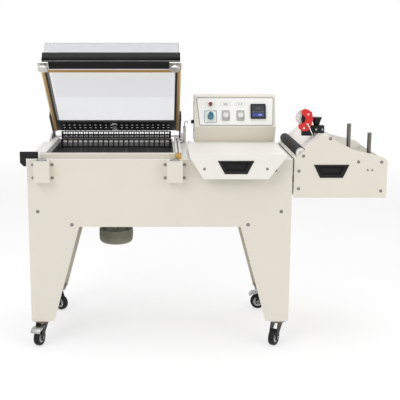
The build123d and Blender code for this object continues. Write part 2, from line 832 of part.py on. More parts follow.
pan_front = -hood_back
pan_top = frame_low + 12.0
pan_hole = 14.0
pan_pitch = 26.0
pan_rows = 2
pan_columns = int((frame_inner_right - frame_inner_left) / pan_pitch) - 1
cross_x = (frame_inner_left, frame_inner_right)
with BuildPart() as lid_crossbars:
    block(lid_plane, cross_x, (lid_front, beam_back), (frame_low, frame_height))
    block(lid_plane, cross_x, (lid_front + frame_wall, beam_back - frame_wall),
          (frame_low + frame_wall, frame_height - frame_wall), Mode.SUBTRACT)
    block(lid_plane, cross_x, (pan_front, lid_bar_back), (frame_low, pan_top))
    block(lid_plane, cross_x, (pan_front + frame_wall, lid_bar_back - frame_wall),
          (frame_low + frame_wall, pan_top), Mode.SUBTRACT)
    with BuildSketch(lid_plane.offset(frame_low)) as pan_holes:
        with Locations(((cross_x[0] + cross_x[1]) / 2, (pan_front + lid_bar_back) / 2)):
            with GridLocations(pan_pitch, pan_pitch, pan_columns, pan_rows):
                Circle(pan_hole / 2)
    extrude(amount=frame_wall, mode=Mode.SUBTRACT)
save(lid_crossbars, "lid_crossbars")

tape_inset = (jaw_width - seal_tape_width) / 2
tape_front = (lid_front + tape_inset, beam_back - tape_inset)
tape_edge = 1.0
tape_left_x = (frame_left + tape_edge, frame_left + tape_edge + side_tape_width)
tape_right_x = (frame_right - tape_edge - side_tape_width, frame_right - tape_edge)
with BuildPart() as seal_tape:
    block(lid_plane, (tape_left_x[0], tape_right_x[1]), tape_front, (0, frame_low))
    block(lid_plane, tape_left_x, (tape_front[0], lid_bar_back), (0, frame_low))
    block(lid_plane, tape_right_x, (tape_front[0], lid_bar_back), (0, frame_low))
save(seal_tape, "seal_tape")

hood_inset = 8.0
hood_round = 8.0
hood_x = (frame_left + hood_inset, frame_right - hood_inset)
hood_y = (lid_front + hood_inset, pan_front + hood_wall)
with BuildPart() as hood:
    block(lid_plane, hood_x, hood_y, (frame_height, hood_height))
    lid_axis = Axis(lid_plane.origin, lid_plane.z_dir)
    fillet(hood.edges().filter_by(lid_axis), radius=hood_round)
    fillet(hood.faces().sort_by(lid_axis)[-1].edges(), radius=hood_round)
    offset(amount=-hood_wall, openings=hood.faces().sort_by(lid_axis)[0])
    block(lid_plane, cross_x, (pan_front, pan_front + hood_wall),
          (pan_top, frame_height + hood_wall))
save(hood, "hood")

handle_back = lid_front - handle_gap
handle_front = handle_back - handle_width
handle_low = 27.0
handle_x = (left_seal_x - 4.0, jaw_x + 9.0)
handle_round = 10.0
with BuildPart() as lid_handle_bar:
    block(lid_plane, handle_x, (handle_front, handle_back),
          (handle_low, handle_low + handle_height))
    fillet(lid_handle_bar.edges().filter_by(Axis.X), radius=handle_round)
save(lid_handle_bar, "lid_handle_bar")

keeper_low = magnet_top + seat_gap - hinge_z
keeper_y = magnet_y - hinge_y
keeper_plate_half = 24.0
keeper_sheet = 4.0
cheek_thick = 5.0
stem_radius = 6.0
keeper_plate_z = (frame_low, frame_low + keeper_sheet)
cheek_z = (frame_low, handle_low + handle_height)
with BuildPart() as keepers:
    for magnet_x, cheek_x in (
        (magnet_x_left, (handle_x[0] - cheek_thick, handle_x[0])),
        (magnet_x_right, (handle_x[1], handle_x[1] + cheek_thick)),
    ):
        plate_x = (min(magnet_x - keeper_plate_half, cheek_x[0]),
                   max(magnet_x + keeper_plate_half, cheek_x[1]))
        block(lid_plane, plate_x, (handle_front, lid_front), keeper_plate_z)
        block(lid_plane, cheek_x, (handle_front, lid_front), cheek_z)
        disc(lid_plane, (magnet_x, keeper_y), stem_radius, (keeper_low, frame_low))
        disc(lid_plane, (magnet_x, keeper_y), keeper_radius,
             (keeper_low, keeper_low + keeper_height))
save(keepers, "keepers")

# Packing table: a top sheet, a front apron with a cup pull, and slider bars below
cup_depth = 18.0
cup_wall = 1.5
bezel_rim = 4.0
table_points = [
    (table_left, table_top),
    (table_left, apron_corner),
    (apron_slant_left, apron_bottom),
    (apron_slant_right, apron_bottom),
    (table_right, apron_corner),
    (table_right, table_top),
]
cup_height = 50.0
table_cup_x = table_left + 129.0
table_cup_z = apron_bottom + 27.0
table_cup = [
    (table_cup_x, table_cup_z + cup_height),
    (table_cup_x + 27.5, table_cup_z),
    (table_cup_x + 120.0, table_cup_z),
    (table_cup_x + 145.6, table_cup_z + cup_height),
]
film_cup_x = film_left + 92.5
film_cup_z = film_bottom + 94.0
film_cup = [
    (film_cup_x, film_cup_z + cup_height),
    (film_cup_x + 25.0, film_cup_z),
    (film_cup_x + 121.0, film_cup_z),
    (film_cup_x + 144.0, film_cup_z + cup_height),
]
slider_low = deck_top + rail_wall + rail_play
slider_half = rail_outer / 2 - rail_wall - rail_play
table_under = table_top - table_sheet


def cup_pull(base, points):
    """A moulded cup pull: a rim on the sheet's face and a cup through its hole."""
    with BuildSketch(base) as rim:
        with BuildLine():
            Polyline(*points, close=True)
        make_face()
        offset(amount=bezel_rim, kind=Kind.INTERSECTION)
    extrude(rim.sketch, amount=bezel_thick)
    plate(base, points, -cup_depth)
    with BuildSketch(base.offset(bezel_thick)) as inside:
        with BuildLine():
            Polyline(*points, close=True)
        make_face()
        offset(amount=-cup_wall, kind=Kind.INTERSECTION)
    extrude(inside.sketch, amount=-(cup_depth + bezel_thick - cup_wall),
            mode=Mode.SUBTRACT)


with BuildPart() as platform_table:
    block(origin_level, (table_left, table_right), (table_front, table_back),
          (table_under, table_top))
    plate(facing(table_front), table_points, -table_sheet)
    plate(facing(table_front), table_cup, -table_sheet, mode=Mode.SUBTRACT)
    for edge_x in ((table_left, table_left + table_sheet),
                   (table_right - table_sheet, table_right)):
        block(origin_level, edge_x, (table_front, table_back),
              (apron_corner, table_top))
    for rail_x in rail_places:
        block(origin_level, (rail_x - slider_half, rail_x + slider_half), slider_y,
              (slider_low, table_under))
save(platform_table, "platform_table")

with BuildPart() as platform_cup_handle:
    cup_pull(facing(table_front), table_cup)
save(platform_cup_handle, "platform_cup_handle")

# Film unit: end plates of one outline, with a folded deck and a tray between them
slope_start_z = film_bottom + 175.0
right_lip_z = film_bottom + 165.0
film_points = [
    (film_left, film_bottom),
    (film_left, slope_start_z),
    (ridge_left, ridge_top),
    (ridge_right, ridge_top - film_sheet),
    (ridge_right + 31.0, right_lip_z + 89.0),
    (ridge_right + 109.0, right_lip_z + 50.0),
    (film_right - 75.0, right_lip_z + 32.0),
    (film_right - 20.0, right_lip_z + 16.0),
    (film_right, right_lip_z),
    (film_right, film_bottom),
]
film_corner = 5.0
film_screw_places = [
    (film_left + 39.5, film_bottom + 187.0),
    (film_left + 21.5, film_bottom + 120.0),
    (film_left + 21.5, film_bottom + 41.0),
    (ridge_right + 6.0, ridge_top - 13.5),
    (ridge_right + 133.0, right_lip_z - 4.0),
    (film_right - 27.0, right_lip_z - 5.0),
    (film_right - 25.0, film_bottom + 31.0),
    (film_right - 87.0, film_bottom + 124.5),
    (film_right - 67.0, film_bottom + 124.5),
]
roller_end_gap = 0.6
boss_length = 8.0
boss_wall = 6.0
tray_axle_radius = 5.0
tray_roller_level = film_bottom + 61.0
tray_roller_places = {
    "tray_roller_left": tray_lip_x + 35.0,
    "tray_roller_right": film_right - 38.0,
}
axle_bore = tray_axle_radius + bearing_clearance
inside_front = film_sheet
inside_back = film_depth - film_sheet
with BuildPart() as film_front_plate:
    plate(facing(0), film_points, -film_sheet, film_corner, film_screw_places,
          panel_hole)
    plate(facing(0), film_cup, -film_sheet, mode=Mode.SUBTRACT)
    for roller_x in tray_roller_places.values():
        spot = (roller_x, tray_roller_level)
        disc(facing(inside_front), spot, axle_bore + boss_wall, (-boss_length, 0))
        disc(facing(inside_front), spot, axle_bore, (-boss_length, 0), Mode.SUBTRACT)
save(film_front_plate, "film_front_plate")

with BuildPart() as film_cup_handle:
    cup_pull(facing(0), film_cup)
save(film_cup_handle, "film_cup_handle")

with BuildPart() as film_screws:
    screws(facing(0), film_screw_places)
save(film_screws, "film_screws")

# The deck's slope is a plane of its own, from its low end up to the ridge
slope_run = ridge_left - film_left
slope_rise = ridge_top - slope_start_z
slope_angle = math.atan2(slope_rise, slope_run)
slope_length = math.hypot(slope_run, slope_rise)
slope_plane = Plane(
    origin=(body_x + film_left, body_y, slope_start_z),
    x_dir=(math.cos(slope_angle), 0, math.sin(slope_angle)),
    z_dir=(-math.sin(slope_angle), 0, math.cos(slope_angle)),
)
inside_y = (inside_front, inside_back)
guide_along = 38.0
slot_play = 1.5
slot_x = (guide_along - guide_roller_radius - slot_play,
          guide_along + guide_roller_radius + slot_play)
guide_x = film_left + guide_along * math.cos(slope_angle)
guide_z = slope_start_z + guide_along * math.sin(slope_angle)
ear_thick = 4.0
ear_front = 8.0
ear_y = (ear_front, ear_front + ear_thick)
ear_radius = 17.0
ear_drop = 85.0
ear_axle_radius = 5.0
guide_y = (ear_y[1] + roller_end_gap, inside_back - ear_y[1] - roller_end_gap)
slot_end_gap = 2.0
slot_y = (ear_front - slot_end_gap, inside_back - ear_front + slot_end_gap)
tray_wall_start = 24.0
wall_top = slope_start_z + film_wall_inset * slope_rise / slope_run - film_sheet
lip_z = ridge_top - 17.0
right_wall_top = right_lip_z - film_sheet
notch_half = rail_outer / 2 + film_sheet
with BuildPart() as film_body:
    plate(facing(film_depth), film_points, film_sheet, film_corner)
    for rail_z in film_rail_levels:
        block(origin_level, (film_left, film_wall), (inside_back, film_depth),
              (rail_z - notch_half, rail_z + notch_half), Mode.SUBTRACT)
    block(origin_level, (film_wall, film_right), inside_y,
          (film_bottom, film_bottom + film_sheet))
    block(origin_level, (film_wall, film_wall + film_sheet), inside_y,
          (film_bottom, wall_top))
    block(origin_level, (film_right - film_sheet, film_right), inside_y,
          (film_bottom, right_wall_top))
    block(origin_level, (tray_lip_x - film_sheet, tray_lip_x),
          (tray_wall_start, inside_back), (film_bottom, lip_z))
    block(slope_plane, (0, slope_length), inside_y, (-film_sheet, 0))
    block(origin_level, (ridge_left - film_sheet, ridge_right), inside_y,
          (ridge_top - film_sheet, ridge_top))
    block(origin_level, (ridge_right - film_sheet, tray_lip_x), inside_y,
          (lip_z - film_sheet, lip_z))
    block(origin_level, (ridge_right - film_sheet, ridge_right), inside_y,
          (lip_z - film_sheet, ridge_top))
    block(slope_plane, slot_x, slot_y, (-film_sheet, 0), Mode.SUBTRACT)
    for ear_start in (ear_y[0], inside_back - ear_y[1]):
        ear_range = (ear_start, ear_start + ear_thick)
        block(origin_level, (film_wall + film_sheet, guide_x + ear_radius / 2), ear_range,
              (guide_z - ear_drop, guide_z))
        disc(facing(ear_start + ear_thick), (guide_x, guide_z), ear_radius,
             (0, ear_thick))
        disc(facing(ear_start + ear_thick), (guide_x, guide_z),
             ear_axle_radius + bearing_clearance, (0, ear_thick), Mode.SUBTRACT)
    for roller_x in tray_roller_places.values():
        spot = (roller_x, tray_roller_level)
        disc(facing(inside_back + film_sheet), spot, axle_bore + boss_wall,
             (0, boss_length + film_sheet))
        disc(facing(inside_back + film_sheet), spot, axle_bore,
             (film_sheet, boss_length + film_sheet), Mode.SUBTRACT)
    for rail_z in film_rail_levels:
        block(across(half_body), film_slider_y,
              (rail_z - slider_half, rail_z + slider_half),
              (rail_wall + rail_play, film_wall - half_body))
save(film_body, "film_body")

with BuildPart() as film_posts:
    for post_x, post_top in ((post_one_x, post_one_top), (post_two_x, post_two_top)):
        disc(origin_level, (post_x, post_y), post_radius,
             (film_bottom + film_sheet, post_top))
    chamfer(film_posts.faces().filter_by(Axis.Z).edges(), length=1.0)
save(film_posts, "film_posts")

with BuildPart() as guide_roller:
    disc(facing(guide_y[1]), (guide_x, guide_z), guide_roller_radius,
         (0, guide_y[1] - guide_y[0]))
    disc(facing(inside_back - ear_y[0]), (guide_x, guide_z), ear_axle_radius,
         (0, inside_back - 2 * ear_y[0]))
save(guide_roller, "guide_roller")

for roller_name, roller_x in tray_roller_places.items():
    roller_y = (inside_front + boss_length + roller_end_gap,
                inside_back - boss_length - roller_end_gap)
    axle_y = (inside_front + seat_gap, inside_back - seat_gap)
    with BuildPart() as tray_roller:
        disc(facing(roller_y[1]), (roller_x, tray_roller_level), tray_roller_radius,
             (0, roller_y[1] - roller_y[0]))
        disc(facing(axle_y[1]), (roller_x, tray_roller_level), tray_axle_radius,
             (0, axle_y[1] - axle_y[0]))
    save(tray_roller, roller_name)

# Hole punch on the ridge: clamp block, upright plate, red cover, wheel and knob
clamp_x = (ridge_left - 16.0, ridge_right - 6.0)
clamp_y = (92.0, 130.0)
clamp_high = ridge_top + 33.0
foot_x_range = (ridge_left - 70.0, clamp_x[0])
foot_z_range = (ridge_top - 13.0, clamp_high)
upright_x = (ridge_left - 72.0, ridge_left - 28.0)
upright_foot_x = ridge_left - 8.0
upright_y = (101.0, 107.0)
upright_z = (ridge_top + 7.0, ridge_top + 94.0)
cover_thick = 14.0
cover_corner = 3.0
cover_shape = [
    (-78.0, 93.0), (-72.0, 105.0), (-58.0, 109.0), (-40.0, 102.0), (-28.0, 84.0),
    (-24.0, 62.0), (-30.0, 40.0), (-46.0, 10.0), (-74.0, 10.0), (-87.0, 22.0),
    (-89.0, 38.0), (-74.0, 41.0), (-60.0, 52.0), (-58.0, 68.0), (-68.0, 79.0),
]
cover_points = [(ridge_left + x, ridge_top + z) for x, z in cover_shape]
wheel_x = ridge_left - 65.0
wheel_z = ridge_top + 69.0
punch_radius = 34.0
punch_thick = 8.0
punch_pin_radius = 4.0
punch_gap = 0.6
knob_x = ridge_left - 4.0
knob_y = 115.0
knob_bore_depth = 12.0
knob_stem_radius = 5.0
knob_wide = 21.0
knob_narrow = 12.0
knob_height = 36.0
knob_rim = 8.0
knob_profile = [
    (0, 0),
    (knob_narrow, 0),
    (knob_wide, knob_height - knob_rim),
    (knob_wide, knob_height),
    (0, knob_height),
]
knob_plane = Plane(origin=(body_x + knob_x, body_y + knob_y, clamp_high + knob_gap),
                   x_dir=(1, 0, 0), z_dir=(0, -1, 0))
with BuildPart() as perforator_base:
    block(origin_level, clamp_x, clamp_y, (ridge_top, clamp_high))
    block(origin_level, foot_x_range, (upright_y[0], clamp_y[1]), foot_z_range)
    block(origin_level, upright_x, upright_y, upright_z)
    block(origin_level, (upright_x[0], upright_foot_x), upright_y,
          (upright_z[0], clamp_high))
    punch_back = upright_y[1] + 2 * punch_gap + punch_thick
    disc(facing(punch_back), (wheel_x, wheel_z), punch_pin_radius,
         (0, punch_back - upright_y[1]))
    disc(origin_level, (knob_x, knob_y), knob_stem_radius + bearing_clearance,
         (clamp_high - knob_bore_depth, clamp_high), Mode.SUBTRACT)
save(perforator_base, "perforator_base")

with BuildPart() as perforator_cover:
    plate(facing(upright_y[0]), cover_points, cover_thick, cover_corner)
save(perforator_cover, "perforator_cover")

with BuildPart() as punch_wheel:
    wheel_front = upright_y[1] + punch_gap
    disc(facing(wheel_front + punch_thick), (wheel_x, wheel_z), punch_radius,
         (0, punch_thick))
    disc(facing(wheel_front + punch_thick), (wheel_x, wheel_z),
         punch_pin_radius + bearing_clearance, (0, punch_thick), Mode.SUBTRACT)
save(punch_wheel, "punch_wheel")

with BuildPart() as perforator_knob:
    with BuildSketch(knob_plane):
        with BuildLine():
            Polyline(*knob_profile, close=True)
        make_face()
    revolve(axis=Axis(knob_plane.origin, (0, 0, 1)))
    disc(origin_level, (knob_x, knob_y), knob_stem_radius,
         (clamp_high - knob_bore_depth + seat_gap, clamp_high + knob_gap))
save(perforator_knob, "perforator_knob")

# Casters: a swivelling fork with its axle, a wheel, and a brake pedal on two
fork_gap = 0.4
fork_top_thick = 7.6
fork_leg_thick = 4.0
wheel_side_gap = 1.2
fork_half = wheel_width / 2 + wheel_side_gap
fork_high = plate_bottom - fork_gap
race_radius = 26.0
axle_overhang = 4.0
tyre_round = 3.0
pedal_pivot = (22.0, 2 * wheel_radius + 10.0)
pedal_pin_radius = 3.0
pedal_along = (-8.0, 84.0)
pedal_half = fork_half - 1.0
pedal_thick = 4.0
fork_front = caster_trail - 8.0
fork_rear = -22.0
fork_end = 12.0
leg_points = [
    (fork_rear, fork_high),
    (fork_front, fork_high),
    (caster_trail + fork_end, wheel_radius + 14.0),
    (caster_trail + fork_end, wheel_radius - fork_end),
    (caster_trail - fork_end, wheel_radius - fork_end),
    (caster_trail - 20.0, wheel_radius + 18.0),
    (fork_rear, fork_high - 14.0),
]
pedal_casters = ("front_left", "rear_right")
for corner_name, (spot_x, spot_y, trail_way) in caster_spots.items():
    length = math.hypot(*trail_way)
    along = (trail_way[0] / length, trail_way[1] / length, 0)
    sideways = (along[1], -along[0], 0)
    middle = (body_x + spot_x, body_y + spot_y, 0)
    ground = Plane(origin=middle, x_dir=along, z_dir=(0, 0, 1))
    upright = Plane(origin=middle, x_dir=along, z_dir=sideways)
    with_pedal = corner_name in pedal_casters
    with BuildPart() as fork:
        disc(ground, (0, 0), race_radius, (fork_high - fork_top_thick, fork_high))
        block(ground, (fork_rear, fork_front), (-fork_half, fork_half),
              (fork_high - fork_top_thick, fork_high))
        for side in (-fork_half - fork_leg_thick, fork_half):
            plate(upright.offset(side), leg_points, fork_leg_thick)
        axle_reach = fork_half + fork_leg_thick + axle_overhang
        disc(upright, (caster_trail, wheel_radius), axle_radius, (-axle_reach, axle_reach))
        disc(ground, (0, 0), swivel_radius + bearing_clearance,
             (fork_high - fork_top_thick, fork_high), Mode.SUBTRACT)
        if with_pedal:
            disc(upright, pedal_pivot, pedal_pin_radius + bearing_clearance,
                 (-fork_half - fork_leg_thick, fork_half + fork_leg_thick),
                 Mode.SUBTRACT)
    save(fork, f"caster_fork_{corner_name}")
    with BuildPart() as wheel:
        disc(upright, (caster_trail, wheel_radius), wheel_radius,
             (-wheel_width / 2, wheel_width / 2))
        fillet(wheel.edges().filter_by(GeomType.CIRCLE), radius=tyre_round)
        disc(upright, (caster_trail, wheel_radius), axle_radius + bearing_clearance,
             (-wheel_width / 2, wheel_width / 2), Mode.SUBTRACT)
    save(wheel, f"caster_wheel_{corner_name}")
    if with_pedal:
        with BuildPart() as pedal:
            block(ground, pedal_along, (-pedal_half, pedal_half),
                  (pedal_pivot[1] - pedal_thick / 2, pedal_pivot[1] + pedal_thick / 2))
            disc(upright, pedal_pivot, pedal_pin_radius,
                 (-fork_half - fork_leg_thick, fork_half + fork_leg_thick))
        save(pedal, f"brake_pedal_{corner_name}")
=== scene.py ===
# %% [markdown]
# # L bar sealer, dressed for a product photograph
# The CAD frame gives every panel, hinge and wheel its true place and size. This
# script loads it, paints it, and adds what CAD leaves plain: wound springs, painted
# shade for each screw head's cross recess, lettering, tyre profiles, heater fins and
# the like. It is one long lesson: each cell makes one part of the machine, and the
# text before it says what the part is and why it is made that way.

# %% Load the frame
import math

import bmesh
import bpy
from mathutils import Matrix, Vector


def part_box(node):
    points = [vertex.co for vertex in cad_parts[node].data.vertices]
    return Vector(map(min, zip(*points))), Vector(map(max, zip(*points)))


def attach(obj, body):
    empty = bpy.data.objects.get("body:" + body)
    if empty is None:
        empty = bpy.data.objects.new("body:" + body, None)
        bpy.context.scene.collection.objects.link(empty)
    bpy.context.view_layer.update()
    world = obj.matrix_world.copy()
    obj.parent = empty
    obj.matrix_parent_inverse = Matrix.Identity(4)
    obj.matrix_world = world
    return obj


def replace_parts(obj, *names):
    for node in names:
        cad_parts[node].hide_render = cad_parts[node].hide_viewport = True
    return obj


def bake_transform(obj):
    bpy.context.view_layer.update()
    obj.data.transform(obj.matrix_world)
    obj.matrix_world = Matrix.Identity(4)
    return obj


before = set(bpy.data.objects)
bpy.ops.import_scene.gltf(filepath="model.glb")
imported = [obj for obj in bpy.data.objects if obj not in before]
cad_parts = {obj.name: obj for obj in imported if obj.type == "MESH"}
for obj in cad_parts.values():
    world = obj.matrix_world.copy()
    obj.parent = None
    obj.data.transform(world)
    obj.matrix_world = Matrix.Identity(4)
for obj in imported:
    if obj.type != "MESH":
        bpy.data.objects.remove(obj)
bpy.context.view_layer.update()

# %% [markdown]
# ## Local frames
# A machine is drawn in millimetres from its own edges, and Blender works in metres.
# So each group of parts gets a matrix from local millimetres to the scene. The
# cabinet's frame has X from its middle, Y from its front face and Z from the floor.
# The lid's and the console's frames are tilted with them, which keeps their numbers
# plain.

# %% Local frames
MM = 0.001
panel_low, panel_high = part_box("front_panel")
cabinet_middle = (panel_low.x + panel_high.x) / 2
cabinet_front = panel_low.y


def box_of(node):
    """A CAD node's lowest and highest corner, in cabinet millimetres."""
    zero = Vector((cabinet_middle, cabinet_front, 0))
    return [Vector([round(v / MM, 2) for v in spot - zero]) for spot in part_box(node)]


def middle_of(node):
    """The middle of a CAD node's box, in cabinet millimetres."""
    low, high = box_of(node)
    return (low + high) / 2


def local_frame(origin, x_axis, z_axis):
    """A local frame at a place given in cabinet millimetres."""
    x_axis = Vector(x_axis).normalized()
    z_axis = Vector(z_axis).normalized()
    y_axis = z_axis.cross(x_axis)
    turn = Matrix((x_axis, y_axis, z_axis)).transposed().to_4x4()
    spot = Vector((cabinet_middle, cabinet_front, 0)) + Vector(origin) * MM
    return Matrix.Translation(spot) @ turn @ Matrix.Scale(MM, 4)


_, hinge_y, hinge_z = middle_of("hinge_shaft")
lid_tilt = math.radians(36.4)
lid_up = (0, math.sin(lid_tilt), math.cos(lid_tilt))
face_tilt = math.radians(22.0)
console_waist = (0, 330.0, 967.0)
face_normal = (0, -math.cos(face_tilt), math.sin(face_tilt))
cabinet = local_frame((0, 0, 0), (1, 0, 0), (0, 0, 1))
lid = local_frame((0, hinge_y, hinge_z), (1, 0, 0), lid_up)
console = local_frame(console_waist, (1, 0, 0), face_normal)


def facing(y):
    """An upright frame that looks to the front: X to the right, Y up, Z out."""
    return local_frame((0, y, 0), (1, 0, 0), (0, -1, 0))


print("cabinet front at Y", round(cabinet_front, 4))

# %% [markdown]
# ## Mesh helpers: blocks and bars
# Sheet parts and bars start as a cube or a cone, the two shapes that come closest
# to them. Each helper adds one form to a bmesh, in millimetres, so that many forms
# can share a piece. A bevel with the profile 0.5 rounds an edge evenly.

# %% Blocks and bars
SHARP = math.radians(35)
UP = (0, 0, 1)


def add_box(mesh, low, high, round_by=0.0):
    """A block between two corners, its edges rounded if asked."""
    size = [high[i] - low[i] for i in range(3)]
    middle = [(high[i] + low[i]) / 2 for i in range(3)]
    place = Matrix.Translation(middle) @ Matrix.Diagonal((*size, 1))
    made = bmesh.ops.create_cube(mesh, size=1, matrix=place)
    if round_by:
        edges = {edge for vert in made["verts"] for edge in vert.link_edges}
        bmesh.ops.bevel(mesh, geom=list(edges), offset=round_by, segments=3,
                        profile=0.5, affect="EDGES", material=-1)


def add_rod(mesh, start, end, radius, segments=32):
    """A round bar from one point to another, or a six-sided one for a nut."""
    start, end = Vector(start), Vector(end)
    along = end - start
    turn = along.to_track_quat("Z", "Y").to_matrix().to_4x4()
    place = Matrix.Translation((start + end) / 2) @ turn
    bmesh.ops.create_cone(mesh, cap_ends=True, segments=segments, radius1=radius,
                          radius2=radius, depth=along.length, matrix=place)


print("sharp edges from", round(math.degrees(SHARP)), "degrees")

# %% [markdown]
# ## Mesh helpers: raised outlines and turned parts
# A plate is a flat outline raised by an extrude, which is how a laser-cut part is
# drawn. Screws, collars and rings are turned on a lathe, so they are a profile spun
# by a full turn. The spin's ends are merged, or a seam would show in the shading.

# %% Raised outlines and turned parts
def add_prism(mesh, points, low, high, round_by=0.0):
    """A flat outline in X and Y, raised from one height to another."""
    verts = [mesh.verts.new((x, y, low)) for x, y in points]
    face = mesh.faces.new(verts)
    grown = bmesh.ops.extrude_face_region(mesh, geom=[face])
    top = [item for item in grown["geom"] if isinstance(item, bmesh.types.BMVert)]
    bmesh.ops.translate(mesh, verts=top, vec=(0, 0, high - low))
    faces = {side for vert in verts + top for side in vert.link_faces}
    bmesh.ops.recalc_face_normals(mesh, faces=list(faces))
    if round_by:
        edges = {edge for side in faces for edge in side.edges}
        bmesh.ops.bevel(mesh, geom=list(edges), offset=round_by, segments=2,
                        profile=0.5, affect="EDGES", material=-1)


def add_lathe(mesh, profile, centre, axis=UP, steps=48):
    """A closed profile of (radius, height) turned about an axis through a centre."""
    turn = Vector(axis).to_track_quat("Z", "Y").to_matrix().to_4x4()
    place = Matrix.Translation(centre) @ turn
    ring = [mesh.verts.new(place @ Vector((radius, 0, height)))
            for radius, height in profile]
    edges = [mesh.edges.new((ring[i - 1], ring[i])) for i in range(len(ring))]
    bmesh.ops.spin(mesh, geom=ring + edges, cent=centre,
                   axis=place.to_3x3() @ Vector((0, 0, 1)), angle=math.tau,
                   steps=steps, use_merge=True)
    bmesh.ops.recalc_face_normals(mesh, faces=mesh.faces[:])


print("a full turn is", round(math.tau, 4))

# %% [markdown]
# ## Mesh helpers: bands and wires
# A printed frame or a moulded rim is a band between outlines, so neighbouring
# outlines are bridged. A wire is a disc that is extruded from point to point and
# swung at each one, which keeps it round in a bend and free of twist.

# %% Bands and wires
def add_band(mesh, rings):
    """A closed skin through (outline, height) pairs, with the last joined to the first."""
    loops = []
    for outline, height in rings:
        verts = [mesh.verts.new((*spot, height)) for spot in outline]
        loops.append([mesh.edges.new((verts[k - 1], verts[k])) for k in range(len(verts))])
    for one, two in zip(loops, loops[1:] + loops[:1]):
        bmesh.ops.bridge_loops(mesh, edges=one + two)


def add_tube(mesh, path, radius, sides=10):
    """A round wire that follows a path of points, with flat ends."""
    points = [Vector(point) for point in path]
    aims = [(after - before).normalized()
            for before, after in zip(points[:1] + points[:-1], points[1:] + points[-1:])]
    turn = aims[0].to_track_quat("Z", "Y").to_matrix().to_4x4()
    start = bmesh.ops.create_circle(mesh, cap_ends=True, segments=sides, radius=radius,
                                    matrix=Matrix.Translation(points[0]) @ turn)
    edges = list({edge for vert in start["verts"] for edge in vert.link_edges})
    for i in range(1, len(points)):
        grown = bmesh.ops.extrude_edge_only(mesh, edges=edges)["geom"]
        ring = {item for item in grown if isinstance(item, bmesh.types.BMVert)}
        edges = [item for item in grown
                 if isinstance(item, bmesh.types.BMEdge) and ring.issuperset(item.verts)]
        swing = aims[i - 1].rotation_difference(aims[i]).to_matrix()
        bmesh.ops.rotate(mesh, verts=list(ring), cent=points[i - 1], matrix=swing)
        bmesh.ops.translate(mesh, verts=list(ring), vec=points[i] - points[i - 1])
    bmesh.ops.edgeloop_fill(mesh, edges=edges)


print("helpers", [add_band.__name__, add_tube.__name__])

# %% [markdown]
# ## From a bmesh to a piece
# A finished piece keeps its object at the origin and has its place in its mesh, as
# the CAD nodes do. It is smooth shaded, with sharp edges marked by angle. It then
# rides on a body, so that it moves with the lid, a wheel or a knob. Many pieces are
# only blocks, or one turned profile at some places, so those two kinds have a
# function each.

# %% A piece on a body
def keep(name, data, material, body):
    """Puts a mesh into the scene as a named piece that rides on a body."""
    data.materials.append(material)
    made = bpy.data.objects.new(name, data)
    bpy.context.scene.collection.objects.link(made)
    if body:
        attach(made, body)
    return made


def piece(name, mesh, place, material, body):
    """Turns a bmesh in local millimetres into a piece that rides on a body."""
    bmesh.ops.recalc_face_normals(mesh, faces=mesh.faces[:])
    mesh.transform(place)
    data = bpy.data.meshes.new(name)
    mesh.to_mesh(data)
    mesh.free()
    data.shade_smooth()
    data.set_sharp_from_angle(angle=SHARP)
    return keep(name, data, material, body)


def blocks(name, spans, place, material, body, round_by=0.0):
    """A piece made of blocks, each given by two corners."""
    mesh = bmesh.new()
    for low, high in spans:
        add_box(mesh, low, high, round_by)
    return piece(name, mesh, place, material, body)


def turned(name, profile, seats, place, material, body, steps=24):
    """A piece made of one turned profile at each seat, a (centre, axis) pair."""
    mesh = bmesh.new()
    for centre, axis in seats:
        add_lathe(mesh, profile, centre, axis, steps)
    return piece(name, mesh, place, material, body)


# %% [markdown]
# ## Material helpers: colours and nodes
# A shader reads linear light, and a hex colour is stored for the screen, so it is
# converted first. The other helper adds a node and sets or links its inputs in one
# call. A long chain of nodes then reads like a list.

# %% Colours and nodes
def linear(hex_colour):
    """A hex colour as linear light, with alpha 1."""
    parts = [int(hex_colour[i:i + 2], 16) / 255 for i in (1, 3, 5)]
    return (*[c / 12.92 if c <= 0.04045 else ((c + 0.055) / 1.055) ** 2.4
              for c in parts], 1.0)


def add_node(tree, kind, inputs=None, **settings):
    """A node with its settings, and with its input sockets set or linked."""
    node = tree.nodes.new(kind)
    for key, value in settings.items():
        setattr(node, key, value)
    for key, value in (inputs or {}).items():
        if isinstance(value, bpy.types.NodeSocket):
            tree.links.new(value, node.inputs[key])
        else:
            node.inputs[key].default_value = value
    return node


def new_material(name):
    """A material with only its output, ready for nodes."""
    made = bpy.data.materials.new(name)
    made.use_nodes = True
    made.node_tree.nodes.clear()
    return made, made.node_tree


print("mid grey is", round(linear("#808080")[0], 3))

# %% [markdown]
# ## Material helpers: surfaces
# Every real finish has a fine grain, a slow change of tone and a slight relief. One
# function makes all three from two noise textures, which sit on Object coordinates.
# Those are metres, so a grain of some millimetres has the scale 1000 / size.
# Displays need light of their own, and a clear sheet needs alpha, so both have a
# function too.

